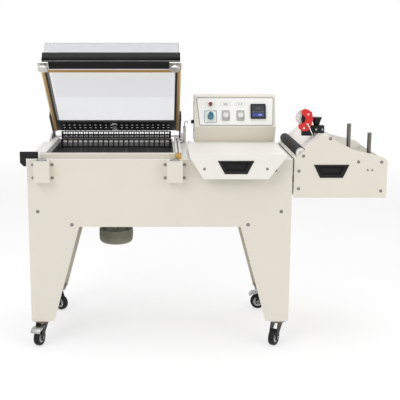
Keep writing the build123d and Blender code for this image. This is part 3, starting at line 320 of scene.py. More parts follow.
# %% Surfaces
def surface(name, colour, roughness, grain, bump, metallic=0.0, vary=0.02, **extra):
    """A plain surface with fine grain, a slight tone change and a slight bump."""
    made, tree = new_material(name)
    spot = add_node(tree, "ShaderNodeTexCoord").outputs["Object"]
    fine = add_node(tree, "ShaderNodeTexNoise",
                    {"Vector": spot, "Scale": 1000 / grain, "Detail": 3.0})
    broad = add_node(tree, "ShaderNodeTexNoise",
                     {"Vector": spot, "Scale": 1000 / 180.0, "Detail": 2.0})
    tone = add_node(tree, "ShaderNodeMapRange",
                    {"Value": broad.outputs["Fac"], "From Min": 0.3, "From Max": 0.7,
                     "To Min": 1.0 - vary, "To Max": 1.0})
    shade = add_node(tree, "ShaderNodeMix",
                     {"Factor": tone.outputs["Result"], "A": (0.0, 0.0, 0.0, 1.0),
                      "B": linear(colour)}, data_type="RGBA")
    rough = add_node(tree, "ShaderNodeMapRange",
                     {"Value": fine.outputs["Fac"], "To Min": max(roughness - 0.06, 0.0),
                      "To Max": min(roughness + 0.06, 1.0)})
    relief = add_node(tree, "ShaderNodeBump",
                      {"Height": fine.outputs["Fac"], "Strength": bump,
                       "Distance": 0.0005})
    inputs = {"Base Color": shade.outputs["Result"], "Metallic": metallic,
              "Roughness": rough.outputs["Result"], "Normal": relief.outputs["Normal"]}
    inputs.update(extra)
    shader = add_node(tree, "ShaderNodeBsdfPrincipled", inputs)
    add_node(tree, "ShaderNodeOutputMaterial", {"Surface": shader.outputs["BSDF"]})
    return made


def glow(name, colour, strength):
    """A softly lit display."""
    made, tree = new_material(name)
    shader = add_node(tree, "ShaderNodeBsdfPrincipled",
                      {"Base Color": linear(colour), "Emission Color": linear(colour),
                       "Emission Strength": strength, "Roughness": 0.3})
    add_node(tree, "ShaderNodeOutputMaterial", {"Surface": shader.outputs["BSDF"]})
    return made


def clear(name, colour, alpha, roughness):
    """A thin clear sheet: see-through, with its own reflections."""
    made, tree = new_material(name)
    spot = add_node(tree, "ShaderNodeTexCoord").outputs["Object"]
    haze = add_node(tree, "ShaderNodeTexNoise",
                    {"Vector": spot, "Scale": 1000 / 160.0, "Detail": 2.0})
    rough = add_node(tree, "ShaderNodeMapRange",
                     {"Value": haze.outputs["Fac"], "To Min": roughness,
                      "To Max": roughness + 0.05})
    shader = add_node(tree, "ShaderNodeBsdfPrincipled",
                      {"Base Color": linear(colour), "Alpha": alpha,
                       "Roughness": rough.outputs["Result"]})
    add_node(tree, "ShaderNodeOutputMaterial", {"Surface": shader.outputs["BSDF"]})
    return made


print("functions for surfaces, displays and clear sheet")

# %% [markdown]
# ## Painted steel
# The panels are folded sheet with a baked powder coat. It is matt to satin, with a
# very fine orange peel, so the grain is about a millimetre and the bump is slight.
# Black parts have the same coat, and a lower IOR keeps the white studio from
# greying them. The deck is a little whiter. The side panels have a darker copy of
# the cream as painted shade, and the table and the film deck a paler copy as
# painted light.

# %% Painted steel
# Cream powder coat: warm and satin.
cream = surface("cream_powder_coat", "#E0DBCE", 0.42, grain=1.2, bump=0.03)
# The same coat on the side panels, darker as painted shade.
cream_painted_shade = surface("cream_painted_shade_coat", "#DED8C9", 0.45, grain=1.2, bump=0.03)
# The same coat on the table and the film deck, paler as painted light.
cream_painted_light = surface("cream_painted_light_coat", "#EBE8E0", 0.42, grain=1.2, bump=0.03)
# White enamel on the deck: cleaner and smoother than the panels.
white_coat = surface("white_enamel", "#F0EFEA", 0.38, grain=1.2, bump=0.03)
# Beige coat on the jaws, dulled by heat.
jaw_beige = surface("jaw_enamel", "#CFC9BB", 0.45, grain=1.2, bump=0.03)
# Black powder coat on brackets, guards and forks: a soft, even sheen.
black_coat = surface("black_powder_coat", "#151516", 0.42, grain=0.9, bump=0.05, IOR=1.36)
# Near-black stove enamel on the lid and tray.
dark_coat = surface("stove_enamel", "#1D1C1F", 0.38, grain=0.9, bump=0.04, IOR=1.4)
# Hammered green-grey motor paint: coarser grain than the sheet parts.
motor_coat = surface("motor_paint", "#7B7C69", 0.5, grain=2.5, bump=0.12)
print("paints", [paint.name for paint in (cream, white_coat, dark_coat, motor_coat)])

# %% [markdown]
# ## Bare metal
# Fasteners are zinc plated, shafts are ground, pads and fins are rolled stock and
# the end block is brass. A metal's colour is its reflection, so the hex value is the
# tint of that reflection and the IOR stays as it is. Roughness tells plating from
# a ground bar.

# %% Bare metal
# Bright zinc plate: grey and slightly cloudy.
zinc = surface("zinc_plate", "#B9BABC", 0.34, grain=2.0, bump=0.03, metallic=1.0, vary=0.06)
# Ground shafting: nearly a mirror.
polished = surface("ground_steel", "#D4D5D7", 0.12, grain=4.0, bump=0.0, metallic=1.0)
# Heat-stained liner sheet: darker and uneven.
liner_metal = surface("liner_sheet", "#8F8F90", 0.4, grain=3.0, bump=0.05, metallic=1.0,
                      vary=0.12)
# Cast aluminium: pale and soft.
aluminium = surface("cast_aluminium", "#CFD0D1", 0.36, grain=0.8, bump=0.04, metallic=1.0)
# Milled brass: yellow and satin.
brass = surface("milled_brass", "#C9A35C", 0.3, grain=1.0, bump=0.03, metallic=1.0)
# Screw heads: plated, with a satin top.
screw_steel = surface("screw_plate", "#9A9894", 0.35, grain=0.8, bump=0.02, metallic=1.0)
# Drawn steel posts: darker than zinc, with a soft streak.
post_steel = surface("drawn_steel", "#6F6B66", 0.28, grain=4.0, bump=0.0, metallic=1.0)
# Passivated zinc on the keepers: almost white.
keeper_zinc = surface("pale_zinc", "#DCDBD7", 0.42, grain=2.0, bump=0.03, metallic=1.0)
# Pressed pedal steel: grey and a little worn.
pedal_steel = surface("pressed_steel", "#ABACAB", 0.36, grain=1.5, bump=0.04, metallic=1.0)
# Greased bearing race: brown steel.
race_steel = surface("greased_steel", "#806C4F", 0.42, grain=1.5, bump=0.04, metallic=1.0)
print("metals", [metal.name for metal in (zinc, polished, aluminium, brass)])

# %% [markdown]
# ## Plastics, rubber and cloth
# Knobs, cups and the controller are moulded in ABS and nylon, tyres and rollers are
# rubber, and the seal is covered by woven glass cloth. Moulded parts carry a fine
# spark texture, and rubber is rougher still. The weave is too fine to show at this
# distance, so the cloth's grain is drawn at 1.2 mm.

# %% Plastics, rubber and cloth
# Glass cloth tape, browned by heat.
tape_cloth = surface("glass_cloth_tape", "#BB9150", 0.5, grain=1.2, bump=0.1, vary=0.12)
# The tape's unheated edge: straw coloured.
tape_edge = surface("tape_edge", "#E2CE9B", 0.5, grain=1.2, bump=0.05)
# Silicone in the groove: dull black.
pad_rubber = surface("groove_silicone", "#2A2A2B", 0.6, grain=1.5, bump=0.05)
# White silicone pads: soft and slightly grey.
pad_white = surface("pad_silicone", "#E6E6E3", 0.5, grain=1.0, bump=0.05)
# Black ABS with a spark texture.
black_plastic = surface("black_abs", "#141415", 0.46, grain=0.6, bump=0.06, IOR=1.33)
# Rubber sleeve on the guide roller: nearly no shine.
black_rubber = surface("roller_rubber", "#131312", 0.62, grain=1.0, bump=0.1, IOR=1.28)
# Tyre rubber: dark and rough.
tyre_rubber = surface("tyre_rubber", "#161514", 0.62, grain=1.4, bump=0.1, IOR=1.35)
# Grey nylon wheel hub.
hub_plastic = surface("hub_nylon", "#B2B3B3", 0.45, grain=1.0, bump=0.04)
# Blackened washers round the screw heads. The same dark is painted shade in each
# screw recess, round the heads and along the hood's corners.
dark_washer_and_shade = surface("black_washer_and_painted_shade", "#2B2B2C", 0.45, grain=0.8, bump=0.02)
# Glossy red moulding on the hole punch.
red_gloss = surface("red_abs", "#D8201B", 0.25, grain=3.0, bump=0.02)
# White knobs and small mouldings: off-white nylon.
knob_white = surface("knob_nylon", "#E8E8E6", 0.35, grain=1.0, bump=0.02)
white_plastic = surface("white_nylon", "#ECECE8", 0.45, grain=1.0, bump=0.03)
# Teal switch handle: smooth, with a clear highlight.
teal = surface("teal_abs", "#086C7E", 0.3, grain=2.0, bump=0.01)
# Clear sheet of the hood: faintly blue, and seen mostly by what it reflects.
hood_clear = clear("clear_hood_sheet", "#C9CCD4", 0.2, 0.03)
print("rubbers", [soft.name for soft in (pad_rubber, black_rubber, tyre_rubber)])

# %% [markdown]
# ## Print, lamp and displays
# The label is printed film: a white ground, grey plates and blue-grey ink, all flat.
# The controller's lower row is lit from inside, so it gives off a little light of
# its own, weak enough to stay a colour and not turn white.

# %% Print, lamp and displays
# White printed film.
label_print = surface("label_film", "#F3F2EE", 0.4, grain=0.8, bump=0.01)
# Pale grey moulded film.
plate_grey = surface("pale_grey_film", "#D5D6D6", 0.4, grain=0.8, bump=0.01)
# Mid grey plates behind the dials.
dial_grey = surface("dial_film", "#B4B5B2", 0.45, grain=0.8, bump=0.01)
# Printing ink: a blue grey, and a deeper one for outlines.
ink = surface("grey_ink", "#5C6268", 0.5, grain=0.8, bump=0.0)
ink_dark = surface("deep_grey_ink", "#3C4449", 0.5, grain=0.8, bump=0.0)
# Red lamp lens: deep and glossy.
lamp_red = surface("lamp_lens", "#8C0E17", 0.15, grain=3.0, bump=0.0)
# Unlit display glass: dark grey.
display_dark = surface("display_glass", "#30353A", 0.2, grain=2.0, bump=0.0)
# Lit display field and its figures.
display_blue = glow("display_field", "#2F3F86", 0.2)
display_lit = glow("display_figures", "#A9B6DA", 0.6)
print("materials", len(bpy.data.materials))

# %% [markdown]
# ## Paint the CAD nodes
# The CAD parts come unpainted. Each gets the finish of the real part. The material
# goes on the object's own slot and not on the mesh, which leaves the CAD mesh as it
# is. A table from finish to names shows at once which parts share a coat.

# %% Paint the CAD nodes
finishes = {
    cream: ("front_panel", "rear_panel", "magnet_housings", "console_case",
            "film_front_plate"),
    # A paler copy of the cream is painted light, a darker copy is painted shade.
    cream_painted_light: ("platform_table", "film_body"),
    cream_painted_shade: ("side_panels",),
    white_coat: ("deck_frame",),
    zinc: ("foot_plates", "electromagnets", "hinge_posts", "slide_rails",
           "body_screws", "film_screws", "lid_springs", "heater_elements"),
    keeper_zinc: ("keepers",),
    jaw_beige: ("lower_jaws",),
    pedal_steel: ("brake_pedal_front_left", "brake_pedal_rear_right"),
    post_steel: ("film_posts",),
    polished: ("hinge_shaft", "tray_roller_left", "tray_roller_right"),
    aluminium: ("fan_wheel",),
    liner_metal: ("chamber_liner",),
    black_coat: ("rear_guards", "lid_crossbars", "side_bracket", "perforator_base",
                 "caster_fork_front_left", "caster_fork_front_right",
                 "caster_fork_rear_left", "caster_fork_rear_right"),
    dark_coat: ("product_tray", "lid_frame"),
    motor_coat: ("fan_motor",),
    pad_white: ("seal_pads",),
    brass: ("jaw_end_block",),
    tape_cloth: ("seal_tape",),
    hood_clear: ("hood",),
    black_plastic: ("lid_handle_bar", "platform_cup_handle", "film_cup_handle",
                    "temperature_controller", "cable_gland", "perforator_knob"),
    label_print: ("console_plates",),
    lamp_red: ("power_lamp",),
    teal: ("main_switch_knob",),
    knob_white: ("time_dial_knob", "heat_dial_knob"),
    white_plastic: ("punch_wheel",),
    red_gloss: ("perforator_cover",),
    black_rubber: ("guide_roller",),
    tyre_rubber: ("caster_wheel_front_left", "caster_wheel_front_right",
                  "caster_wheel_rear_left", "caster_wheel_rear_right"),
}
painted = set()
for material, names in finishes.items():
    for name in names:
        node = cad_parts[name]
        if not node.material_slots:
            node.data.materials.append(material)
        for slot in node.material_slots:
            slot.link = "OBJECT"
            slot.material = material
        painted.add(name)
print("not painted:", sorted(set(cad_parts) - painted))

# %% [markdown]
# ## Screws
# Panels and film plate are held by pan head screws on dark washers, and the dark
# ring round each head is partly painted shade. A head could be a flattened sphere,
# but a turned profile gives the flat rim and the shallow dome. The cross recess is
# not cut: two raised bars in the washers' dark tone are painted shade, which at this
# distance reads as a hole.

# %% Screws
head_radius = 4.9
washer_radius = 7.4
head_profile = [(0.01, 0.2), (head_radius, 0.2), (head_radius, 1.1), (4.3, 1.8),
                (3.0, 2.25), (0.01, 2.35)]


def add_recess_shade(mesh, place, height, reach=3.2, width=1.5, angle=0.0):
    """A dark cross on the top of a screw head: painted shade of its recess."""
    for turn in (angle, angle + math.pi / 2):
        along = Vector((math.cos(turn), math.sin(turn), 0))
        across = Vector((-along.y, along.x, 0)) * width / 2
        middle = Vector((*place, 0))
        corners = [middle + along * reach + across, middle - along * reach + across,
                   middle - along * reach - across, middle + along * reach - across]
        add_prism(mesh, [corner.to_2d() for corner in corners], height - 0.6, height)


def screw_set(name, places, y, body, scale=1.0):
    """Screw heads on an upright face that looks to the front, on dark washers, with painted
    shade for each recess.
    """
    heads = bmesh.new()
    washers_and_shade = bmesh.new()
    for i, (x, z) in enumerate(places):
        profile = [(r * scale, h * scale) for r, h in head_profile]
        add_lathe(heads, profile, (x, z, 0), steps=28)
        # Painted shade: a dark cross for each head's recess, and a dark washer ring round the
        # head.
        add_recess_shade(washers_and_shade, (x, z), 2.48 * scale, 2.6 * scale, 1.0 * scale, 0.5 * i)
        add_lathe(washers_and_shade, [(0.01, -0.2), (washer_radius * scale, -0.2),
                             (washer_radius * scale, 0.5 * scale), (0.01, 0.5 * scale)],
                  (x, z, 0), steps=28)
    shown = piece(name, heads, facing(y), screw_steel, body)
    piece(name + "_recesses", washers_and_shade, facing(y), dark_washer_and_shade, body)
    return shown


magnets_low, magnets_high = box_of("electromagnets")
magnet_radius = 22.0
magnet_places = (magnets_low.x + magnet_radius, magnets_high.x - magnet_radius)
magnet_y = -22.0
mount_front = -2.0
housing_screws = [(x + side, z) for x in magnet_places for side in (-42.5, 42.5)
                  for z in (840.0, 781.0)]
table_low, table_high = box_of("platform_table")
panel_screws = [(-544.0, 628.0), (-393.0, 568.0), (541.0, 628.0), (394.0, 568.0)]
film_screw_places = [
    (632.0, 878.0), (614.0, 811.0), (614.0, 732.0), (748.0, 954.5),
    (875.0, 852.0), (977.0, 851.0), (979.0, 722.0),
]
small_screws = [(917.0, 815.5), (937.0, 815.5)]
apron_screws = [(194.0, 830.0), (467.0, 830.0)]
screw_set("housing_screws", housing_screws, mount_front, "frame", 0.9)
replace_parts(screw_set("panel_screws", panel_screws, 0.0, "frame"), "body_screws")
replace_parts(screw_set("film_plate_screws", film_screw_places, 0.0, "film_unit", 0.92),
            "film_screws")
screw_set("film_small_screws", small_screws, 0.0, "film_unit", 0.6)
screw_set("apron_screws", apron_screws, table_low.y, "table", 0.8)
print("screws", len(housing_screws) + len(panel_screws) + len(film_screw_places))

# %% [markdown]
# ## Lid springs
# Two tension springs behind the cabinet carry part of the lid's weight. A curve
# with a bevel could be the coil, but a swept wire gives a mesh. The springs ride on
# no body, so they keep the shape they are drawn in.

# %% Lid springs
springs_low, springs_high = box_of("lid_springs")
lug_reach = 10.0
tail_length = 44.0
tail_y = hinge_y + tail_length * math.cos(lid_tilt)
tail_z = hinge_z - tail_length * math.sin(lid_tilt)
spring_bottom = springs_low.z + 3.0
coil_radius = 8.2
coil_wire = 1.6
coil_turns = 22


def coil_spring(name, x):
    """A tension spring with a straight hook at each end."""
    top = tail_z - 4.0
    low, high = spring_bottom + 14.0, top - 12.0
    steps = coil_turns * 16
    path = [(x, tail_y, spring_bottom - 5.0), (x, tail_y, low - 4.0)]
    for i in range(steps + 1):
        angle = math.tau * coil_turns * i / steps
        path.append((x + coil_radius * math.cos(angle), tail_y + coil_radius * math.sin(angle),
                     low + (high - low) * i / steps))
    path += [(x, tail_y, high + 4.0), (x, tail_y, top + 1.0)]
    mesh = bmesh.new()
    add_tube(mesh, path, coil_wire, sides=8)
    made = piece(name, mesh, cabinet, zinc, None)
    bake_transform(made)
    return made


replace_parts(coil_spring("lid_spring_left", springs_low.x + lug_reach), "lid_springs")
coil_spring("lid_spring_right", springs_high.x - lug_reach)
print("spring turns", coil_turns)

# %% [markdown]
# ## Casters
# A caster is a rubber tyre on a nylon hub, with a pressed fork and a ball race on
# top. All of these are round, so each is a turned profile about the axle or the
# king pin. Every caster gets its own frame, turned the way it happens to point in
# the photograph. The hub is thinner between rim and bore, as moulded hubs are.

# %% Casters
wheel_radius = box_of("caster_wheel_front_left")[1].z / 2
trail = 36.0
race_top = 112.0
caster_x = 541.0
caster_front, caster_rear = 38.0, 537.0
tyre_profile = [(24.0, -11.5), (30.0, -14.0), (35.0, -13.2), (37.6, -9.0), (38.0, -4.0),
                (38.0, 4.0), (37.6, 9.0), (35.0, 13.2), (30.0, 14.0), (24.0, 11.5)]
hub_profile = [(5.2, -13.0), (9.0, -13.0), (10.0, -10.0), (21.0, -9.0), (24.2, -11.0),
               (24.2, 11.0), (21.0, 9.0), (10.0, 10.0), (9.0, 13.0), (5.2, 13.0)]
race_profile = [(6.1, -0.2), (33.0, -0.2), (35.0, -3.0), (35.0, -7.0), (33.0, -8.4),
                (24.0, -7.7), (6.1, -7.7)]
caster_spots = {
    "front_left": (-caster_x, caster_front, (-0.32, -0.947)),
    "front_right": (caster_x, caster_front, (-0.51, -0.86)),
    "rear_left": (-caster_x, caster_rear, (0.8, -0.6)),
    "rear_right": (caster_x, caster_rear, (-1.0, 0.0)),
}
for corner, (spot_x, spot_y, way) in caster_spots.items():
    base = local_frame((spot_x, spot_y, 0), (*way, 0), (0, 0, 1))
    hub_at = (trail, 0, wheel_radius)
    sideways = (0, 1, 0)
    tyre = turned(f"tyre_{corner}", tyre_profile, [(hub_at, sideways)], base, tyre_rubber,
                  f"wheel_{corner}", steps=48)
    turned(f"hub_{corner}", hub_profile, [(hub_at, sideways)], base, hub_plastic,
           f"wheel_{corner}", steps=48)
    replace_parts(tyre, f"caster_wheel_{corner}")
    nuts = bmesh.new()
    for side in (-1, 1):
        add_rod(nuts, (trail, side * 19.0, wheel_radius), (trail, side * 23.0, wheel_radius),
                8.0, segments=6)
    piece(f"caster_nuts_{corner}", nuts, base, zinc, f"fork_{corner}")
    turned(f"caster_race_{corner}", race_profile, [((0, 0, race_top), UP)], base,
           race_steel, f"fork_{corner}", steps=48)
print("casters", len(caster_spots))

# %% [markdown]
# ## Brake pedals
# Two casters have a brake: a pressed steel pedal, curved down at the toe. Its side
# view says everything, so the side view is drawn as an outline and raised sideways,
# with a small bevel for the pressed edge. Two thin outlines make the turned-down
# flanges. Hex bolts under the foot plates are six-sided rods.

# %% Brake pedals
half_pedal = 23.0
half_plate = 18.0
bolt_step = 27.0
plate_z = 120.0
pedal_top = [(34.0, 90.4), (56.0, 91.6), (70.0, 88.4), (78.0, 80.0), (82.0, 70.0)]
pedal_under = [(79.2, 69.2), (75.6, 78.4), (68.6, 85.8), (55.6, 89.0), (34.0, 87.8)]
for corner in ("front_left", "rear_right"):
    spot_x, spot_y, way = caster_spots[corner]
    side_on = local_frame((spot_x, spot_y, 0), (*way, 0), (way[1], -way[0], 0))
    pedal = bmesh.new()
    add_prism(pedal, [(-8.0, 84.0), (60.0, 84.0), (60.0, 88.0), (-8.0, 88.0)],
              -half_plate, half_plate)
    add_prism(pedal, pedal_top + pedal_under, -half_pedal, half_pedal, 0.8)
    add_rod(pedal, (22.0, 86.0, -half_plate - 1.0), (22.0, 86.0, half_plate + 1.0), 3.0,
            segments=20)
    for low, high in ((-half_pedal, 2.0 - half_pedal), (half_pedal - 2.0, half_pedal)):
        add_prism(pedal, [(46.0, 82.0), (66.0, 78.0), (78.0, 72.0), (77.0, 80.0),
                          (69.0, 87.0), (56.0, 90.0), (46.0, 89.0)], low, high)
    pedal = piece(f"pedal_plate_{corner}", pedal, side_on, pedal_steel, f"pedal_{corner}")
    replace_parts(pedal, f"brake_pedal_{corner}")
plate_bolts = bmesh.new()
for spot_x, spot_y, way in caster_spots.values():
    for side_x in (-bolt_step, bolt_step):
        for side_y in (-bolt_step, bolt_step):
            spot = (spot_x + side_x, spot_y + side_y)
            add_rod(plate_bolts, (*spot, plate_z), (*spot, plate_z + 5.0), 6.5, segments=6)
piece("caster_bolts", plate_bolts, cabinet, zinc, "frame")
print("bolts", 4 * len(caster_spots))

# %% [markdown]
# ## Console face: outlines
# Everything on the console is a rounded rectangle or a slanted shape with round
# corners. A bevel would need a mesh first, so this function works out the outline
# itself: it moves each side inwards, then sweeps an arc round each corner. The same
# outline can be raised into a plate or inset into a printed frame.

# %% Outlines
label_top = 1.0
plate_top = 2.5
label_outline = [(171.0, 147.0), (186.0, 6.0), (538.0, 6.0), (543.0, 147.0)]
dial_plate = (39.0, 52.0)
switch_plate = (60.0, 60.0)
legend_y = 113.0
main_switch = (240.3, 51.0)
dials = {"time": (312.2, 56.0), "heat": (382.3, 56.0)}
controller = (466.4, 76.0)
corner_steps = 6


def rounded_outline(points, corner, inset):
    """An outline's corners rounded to a radius, after moving every side inwards."""
    count = len(points)
    corners = [Vector(point) for point in points]
    centre = sum(corners, Vector((0, 0))) / count
    moved = []
    for i, spot in enumerate(corners):
        ahead = (corners[(i + 1) % count] - spot).normalized()
        back = (corners[i - 1] - spot).normalized()
        bisector = (ahead + back).normalized()
        if bisector.dot(centre - spot) < 0:
            bisector = -bisector
        half = math.acos(max(-1.0, min(1.0, ahead.dot(back)))) / 2
        moved.append((spot + bisector * (inset / math.sin(half)), ahead, back, half,
                      bisector))
    outline = []
    for spot, ahead, back, half, bisector in moved:
        middle = spot + bisector * (corner / math.sin(half))
        first = spot + back * (corner / math.tan(half)) - middle
        last = spot + ahead * (corner / math.tan(half)) - middle
        for k in range(corner_steps + 1):
            mix = first.lerp(last, k / corner_steps)
            outline.append(tuple(middle + mix.normalized() * corner))
    return outline


def square(middle, width, height):
    """The corners of an upright rectangle about its middle."""
    x, y = middle
    return [(x - width / 2, y + height / 2), (x - width / 2, y - height / 2),
            (x + width / 2, y - height / 2), (x + width / 2, y + height / 2)]


print("dial plate corners", square((0.0, 0.0), *dial_plate))

# %% [markdown]
# ## Console face: label, plates and marks
# The label is a printed film with a dark outline, and the switch and dials sit on
# thin plates with marks. An image would be one way to print them, but a tenth of a
# millimetre of real relief stays sharp at any distance. Marks are short bars placed
# by angle, and frames are bands between two outlines.

# %% Label, plates and marks
def add_frame(mesh, outline, width, low, high):
    """A printed frame: the rim of a flat outline, raised a little."""
    face = mesh.faces.new([mesh.verts.new((*spot, low)) for spot in outline])
    face.normal_update()
    rim = bmesh.ops.inset_region(mesh, faces=[face], thickness=width, use_boundary=True,
                                 use_even_offset=True)["faces"]
    bmesh.ops.delete(mesh, geom=[face], context="FACES_ONLY")
    grown = bmesh.ops.extrude_face_region(mesh, geom=rim)["geom"]
    top = [item for item in grown if isinstance(item, bmesh.types.BMVert)]
    bmesh.ops.translate(mesh, verts=top, vec=(0, 0, high - low))


def add_marks(mesh, middle, radius, first, last, count, length=3.0, width=0.8):
    """Short radial marks round a dial, angles in degrees from straight up."""
    for i in range(count):
        angle = math.radians(first + (last - first) * i / (count - 1))
        along = Vector((math.sin(angle), math.cos(angle)))
        across = Vector((along.y, -along.x)) * width / 2
        start = Vector(middle) + along * radius
        end = start + along * length
        corners = [start + across, start - across, end - across, end + across]
        add_prism(mesh, [tuple(spot) for spot in corners], plate_top - 0.2, plate_top + 0.15)


border = bmesh.new()
add_frame(border, rounded_outline(label_outline, 8.0, 1.2), 2.8, label_top - 0.3,
          label_top + 0.15)
piece("label_border", border, console, ink_dark, "frame")
boxes = bmesh.new()
for x, width in ((main_switch[0], 44.0), (dials["time"][0], 46.0), (dials["heat"][0], 40.0)):
    add_frame(boxes, rounded_outline(square((x, legend_y), width, 20.0), 3.0, 0.3), 0.7,
              label_top - 0.2, label_top + 0.12)
for x in (305.0, 312.0, 319.0, 376.0, 388.0):
    add_box(boxes, (x - 2.0, legend_y - 4.0, label_top - 0.2),
            (x + 2.0, legend_y + 4.0, label_top + 0.12))
piece("label_boxes", boxes, console, ink, "frame")

marks = bmesh.new()
dial_plates = bmesh.new()
for spot in dials.values():
    plate = square(spot, *dial_plate)
    add_marks(marks, spot, 14.5, -135.0, 135.0, 11)
    add_frame(marks, rounded_outline(plate, 4.0, 0.4), 0.6, plate_top - 0.2,
              plate_top + 0.12)
    add_prism(dial_plates, rounded_outline(plate, 3.4, 1.1), plate_top - 0.3,
              plate_top + 0.06)
piece("dial_marks", marks, console, ink_dark, "frame")
piece("dial_plates", dial_plates, console, dial_grey, "frame")
switch_frame = bmesh.new()
add_frame(switch_frame, rounded_outline(square(main_switch, *switch_plate), 4.0, 0.3),
          2.1, plate_top - 0.2, plate_top + 0.15)
add_marks(switch_frame, main_switch, 25.5, 0.0, 90.0, 2, length=2.6, width=1.2)
piece("switch_frame", switch_frame, console, teal, "frame")
print("dials", sorted(dials))

# %% [markdown]
# ## Console face: lettering
# Dial numbers, ON and OFF are printed. A text object is the easy way to shape a
# letter. It is turned into a mesh before it is placed, because a finished piece
# keeps its object at the origin. The lamp's bright ring is turned like a washer.

# %% Lettering
def printed(name, words, middle, height, out, material):
    """Flat lettering on the console's face, such as a dial number."""
    font = bpy.data.curves.new("lettering", "FONT")
    font.body = words
    font.size = height
    font.align_x = "CENTER"
    font.align_y = "CENTER"
    font.extrude = 0.08
    draft = bpy.data.objects.new("lettering", font)
    bpy.context.scene.collection.objects.link(draft)
    shape = bpy.data.meshes.new_from_object(draft)
    bpy.data.objects.remove(draft)
    mesh = bmesh.new()
    mesh.from_mesh(shape)
    bmesh.ops.translate(mesh, verts=mesh.verts, vec=(*middle, out))
    return piece(name, mesh, console, material, "frame")


print_top = plate_top + 0.1
number_across, number_up = 15.908, 20.188
for dial, (x, y) in dials.items():
    for number, degrees in (("0", -135.0), ("5", 0.0), ("10", 135.0)):
        angle = math.radians(degrees)
        spot = (x + number_across * math.sin(angle), y + number_up * math.cos(angle))
        printed(f"{dial}_number_{number}", number, spot, 5.0, print_top, ink)
for word, across in (("OFF", -20.0), ("ON", 21.5)):
    printed(f"switch_{word.lower()}", word, (main_switch[0] + across, main_switch[1] + 23.5),
            6.0, print_top, ink)

turned("lamp_ring", [(9.2, 0.0), (12.5, 0.0), (12.5, 1.4), (11.2, 2.4), (9.2, 2.4)],
       [((main_switch[0], legend_y, label_top), UP)], console, polished, "frame",
       steps=48)
print("lettering stands", print_top, "mm above the case")

# %% [markdown]
# ## Knobs
# The main switch has a teal, spade-shaped handle on a round base, and each dial a
# white knurled knob with a line. The spade is an outline raised and bevelled, the
# base is turned. The knurl is twenty thin rods round the knob, which catch the
# light like cut grooves and cost few faces.

# %% Knobs
knob_top = 30.8
knurls = 20
knurl_radius = 11.9
handle = bmesh.new()
add_lathe(handle, [(0.01, 2.8), (14.5, 2.8), (14.5, 8.0), (13.0, 11.0), (0.01, 11.0)],
          (*main_switch, 0.0), steps=48)
spade = [(0.0, -21.5), (-7.5, -12.0), (-12.0, -2.0), (-12.5, 5.0), (-9.0, 13.0),
         (0.0, 18.5), (9.0, 13.0), (12.5, 5.0), (12.0, -2.0), (7.5, -12.0)]
add_prism(handle, [(main_switch[0] + x, main_switch[1] + y) for x, y in spade], 10.5,
          knob_top, 1.5)
handle = piece("main_knob_handle", handle, console, teal, "main_knob")
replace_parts(handle, "main_switch_knob")
pointer = bmesh.new()
add_prism(pointer, [(main_switch[0] - 1.2, main_switch[1] - 6.0),
                    (main_switch[0] + 1.2, main_switch[1] - 6.0),
                    (main_switch[0], main_switch[1] - 17.0)], knob_top - 0.1,
          knob_top + 0.15)
piece("main_knob_pointer", pointer, console, knob_white, "main_knob")
for dial, spot in dials.items():
    skirt = bmesh.new()
    add_lathe(skirt, [(12.05, 3.2), (14.0, 3.2), (13.6, 5.4), (12.05, 6.2)], (*spot, 0))
    for i in range(knurls):
        angle = math.tau * i / knurls
        x = spot[0] + knurl_radius * math.cos(angle)
        y = spot[1] + knurl_radius * math.sin(angle)
        add_rod(skirt, (x, y, 6.0), (x, y, 18.2), 0.8, segments=8)
    piece(f"{dial}_knob_skirt", skirt, console, knob_white, f"{dial}_knob")
    blocks(f"{dial}_knob_line", [((spot[0] - 0.7, spot[1] + 2.0, 18.0),
                                  (spot[0] + 0.7, spot[1] + 10.8, 21.1))],
           console, ink, f"{dial}_knob")
print("knurls on a knob", knurls)

# %% [markdown]
# ## Temperature controller
# A 72 mm panel controller: a dark window with large figures, four keys and a lit
# lower row. Each is a thin block on the case, one step above the last, so that no
# two faces share a plane and flicker. The keys have a small round edge, as moulded
# keys do.

# %% Temperature controller
window_top = 7.0
half_window = 29.8
half_lit = 27.0
mid_x, mid_y = controller
blocks("controller_screen", [((mid_x - half_window, mid_y - half_window, window_top - 0.5),
                              (mid_x + half_window, mid_y + half_window, window_top + 0.6))],
       console, display_dark, "frame")
blocks("controller_lower_row", [((mid_x - half_lit, mid_y - half_lit, window_top + 0.5),
                                 (mid_x + half_lit, mid_y - 10.0, window_top + 0.8))],
       console, display_blue, "frame")
key_places = [mid_x + step for step in (-21.0, -7.0, 7.0, 21.0)]
blocks("controller_keys", [((x - 4.5, mid_y - 6.0, window_top + 0.4),
                            (x + 4.5, mid_y - 1.5, window_top + 1.6)) for x in key_places],
       console, ink, "frame", round_by=0.4)
printed("controller_reading", "150", (mid_x, mid_y + 14.0), 17.0, window_top + 0.7, ink)
printed("controller_target", "150", (mid_x + 8.0, mid_y - 18.5), 12.0, window_top + 0.9,
        display_lit)
print("window at", controller)

# %% [markdown]
# ## Lid: hood trim, edges and fasteners
# The clear hood sits in white strips on the lid frame, and its glued corners look
# like thin dark lines. Blocks make the strips, and slim dark rods at the corners are
# painted shade, without which a clear box disappears on white. Nuts are six-sided
# rods, and the hood's rivets are turned.

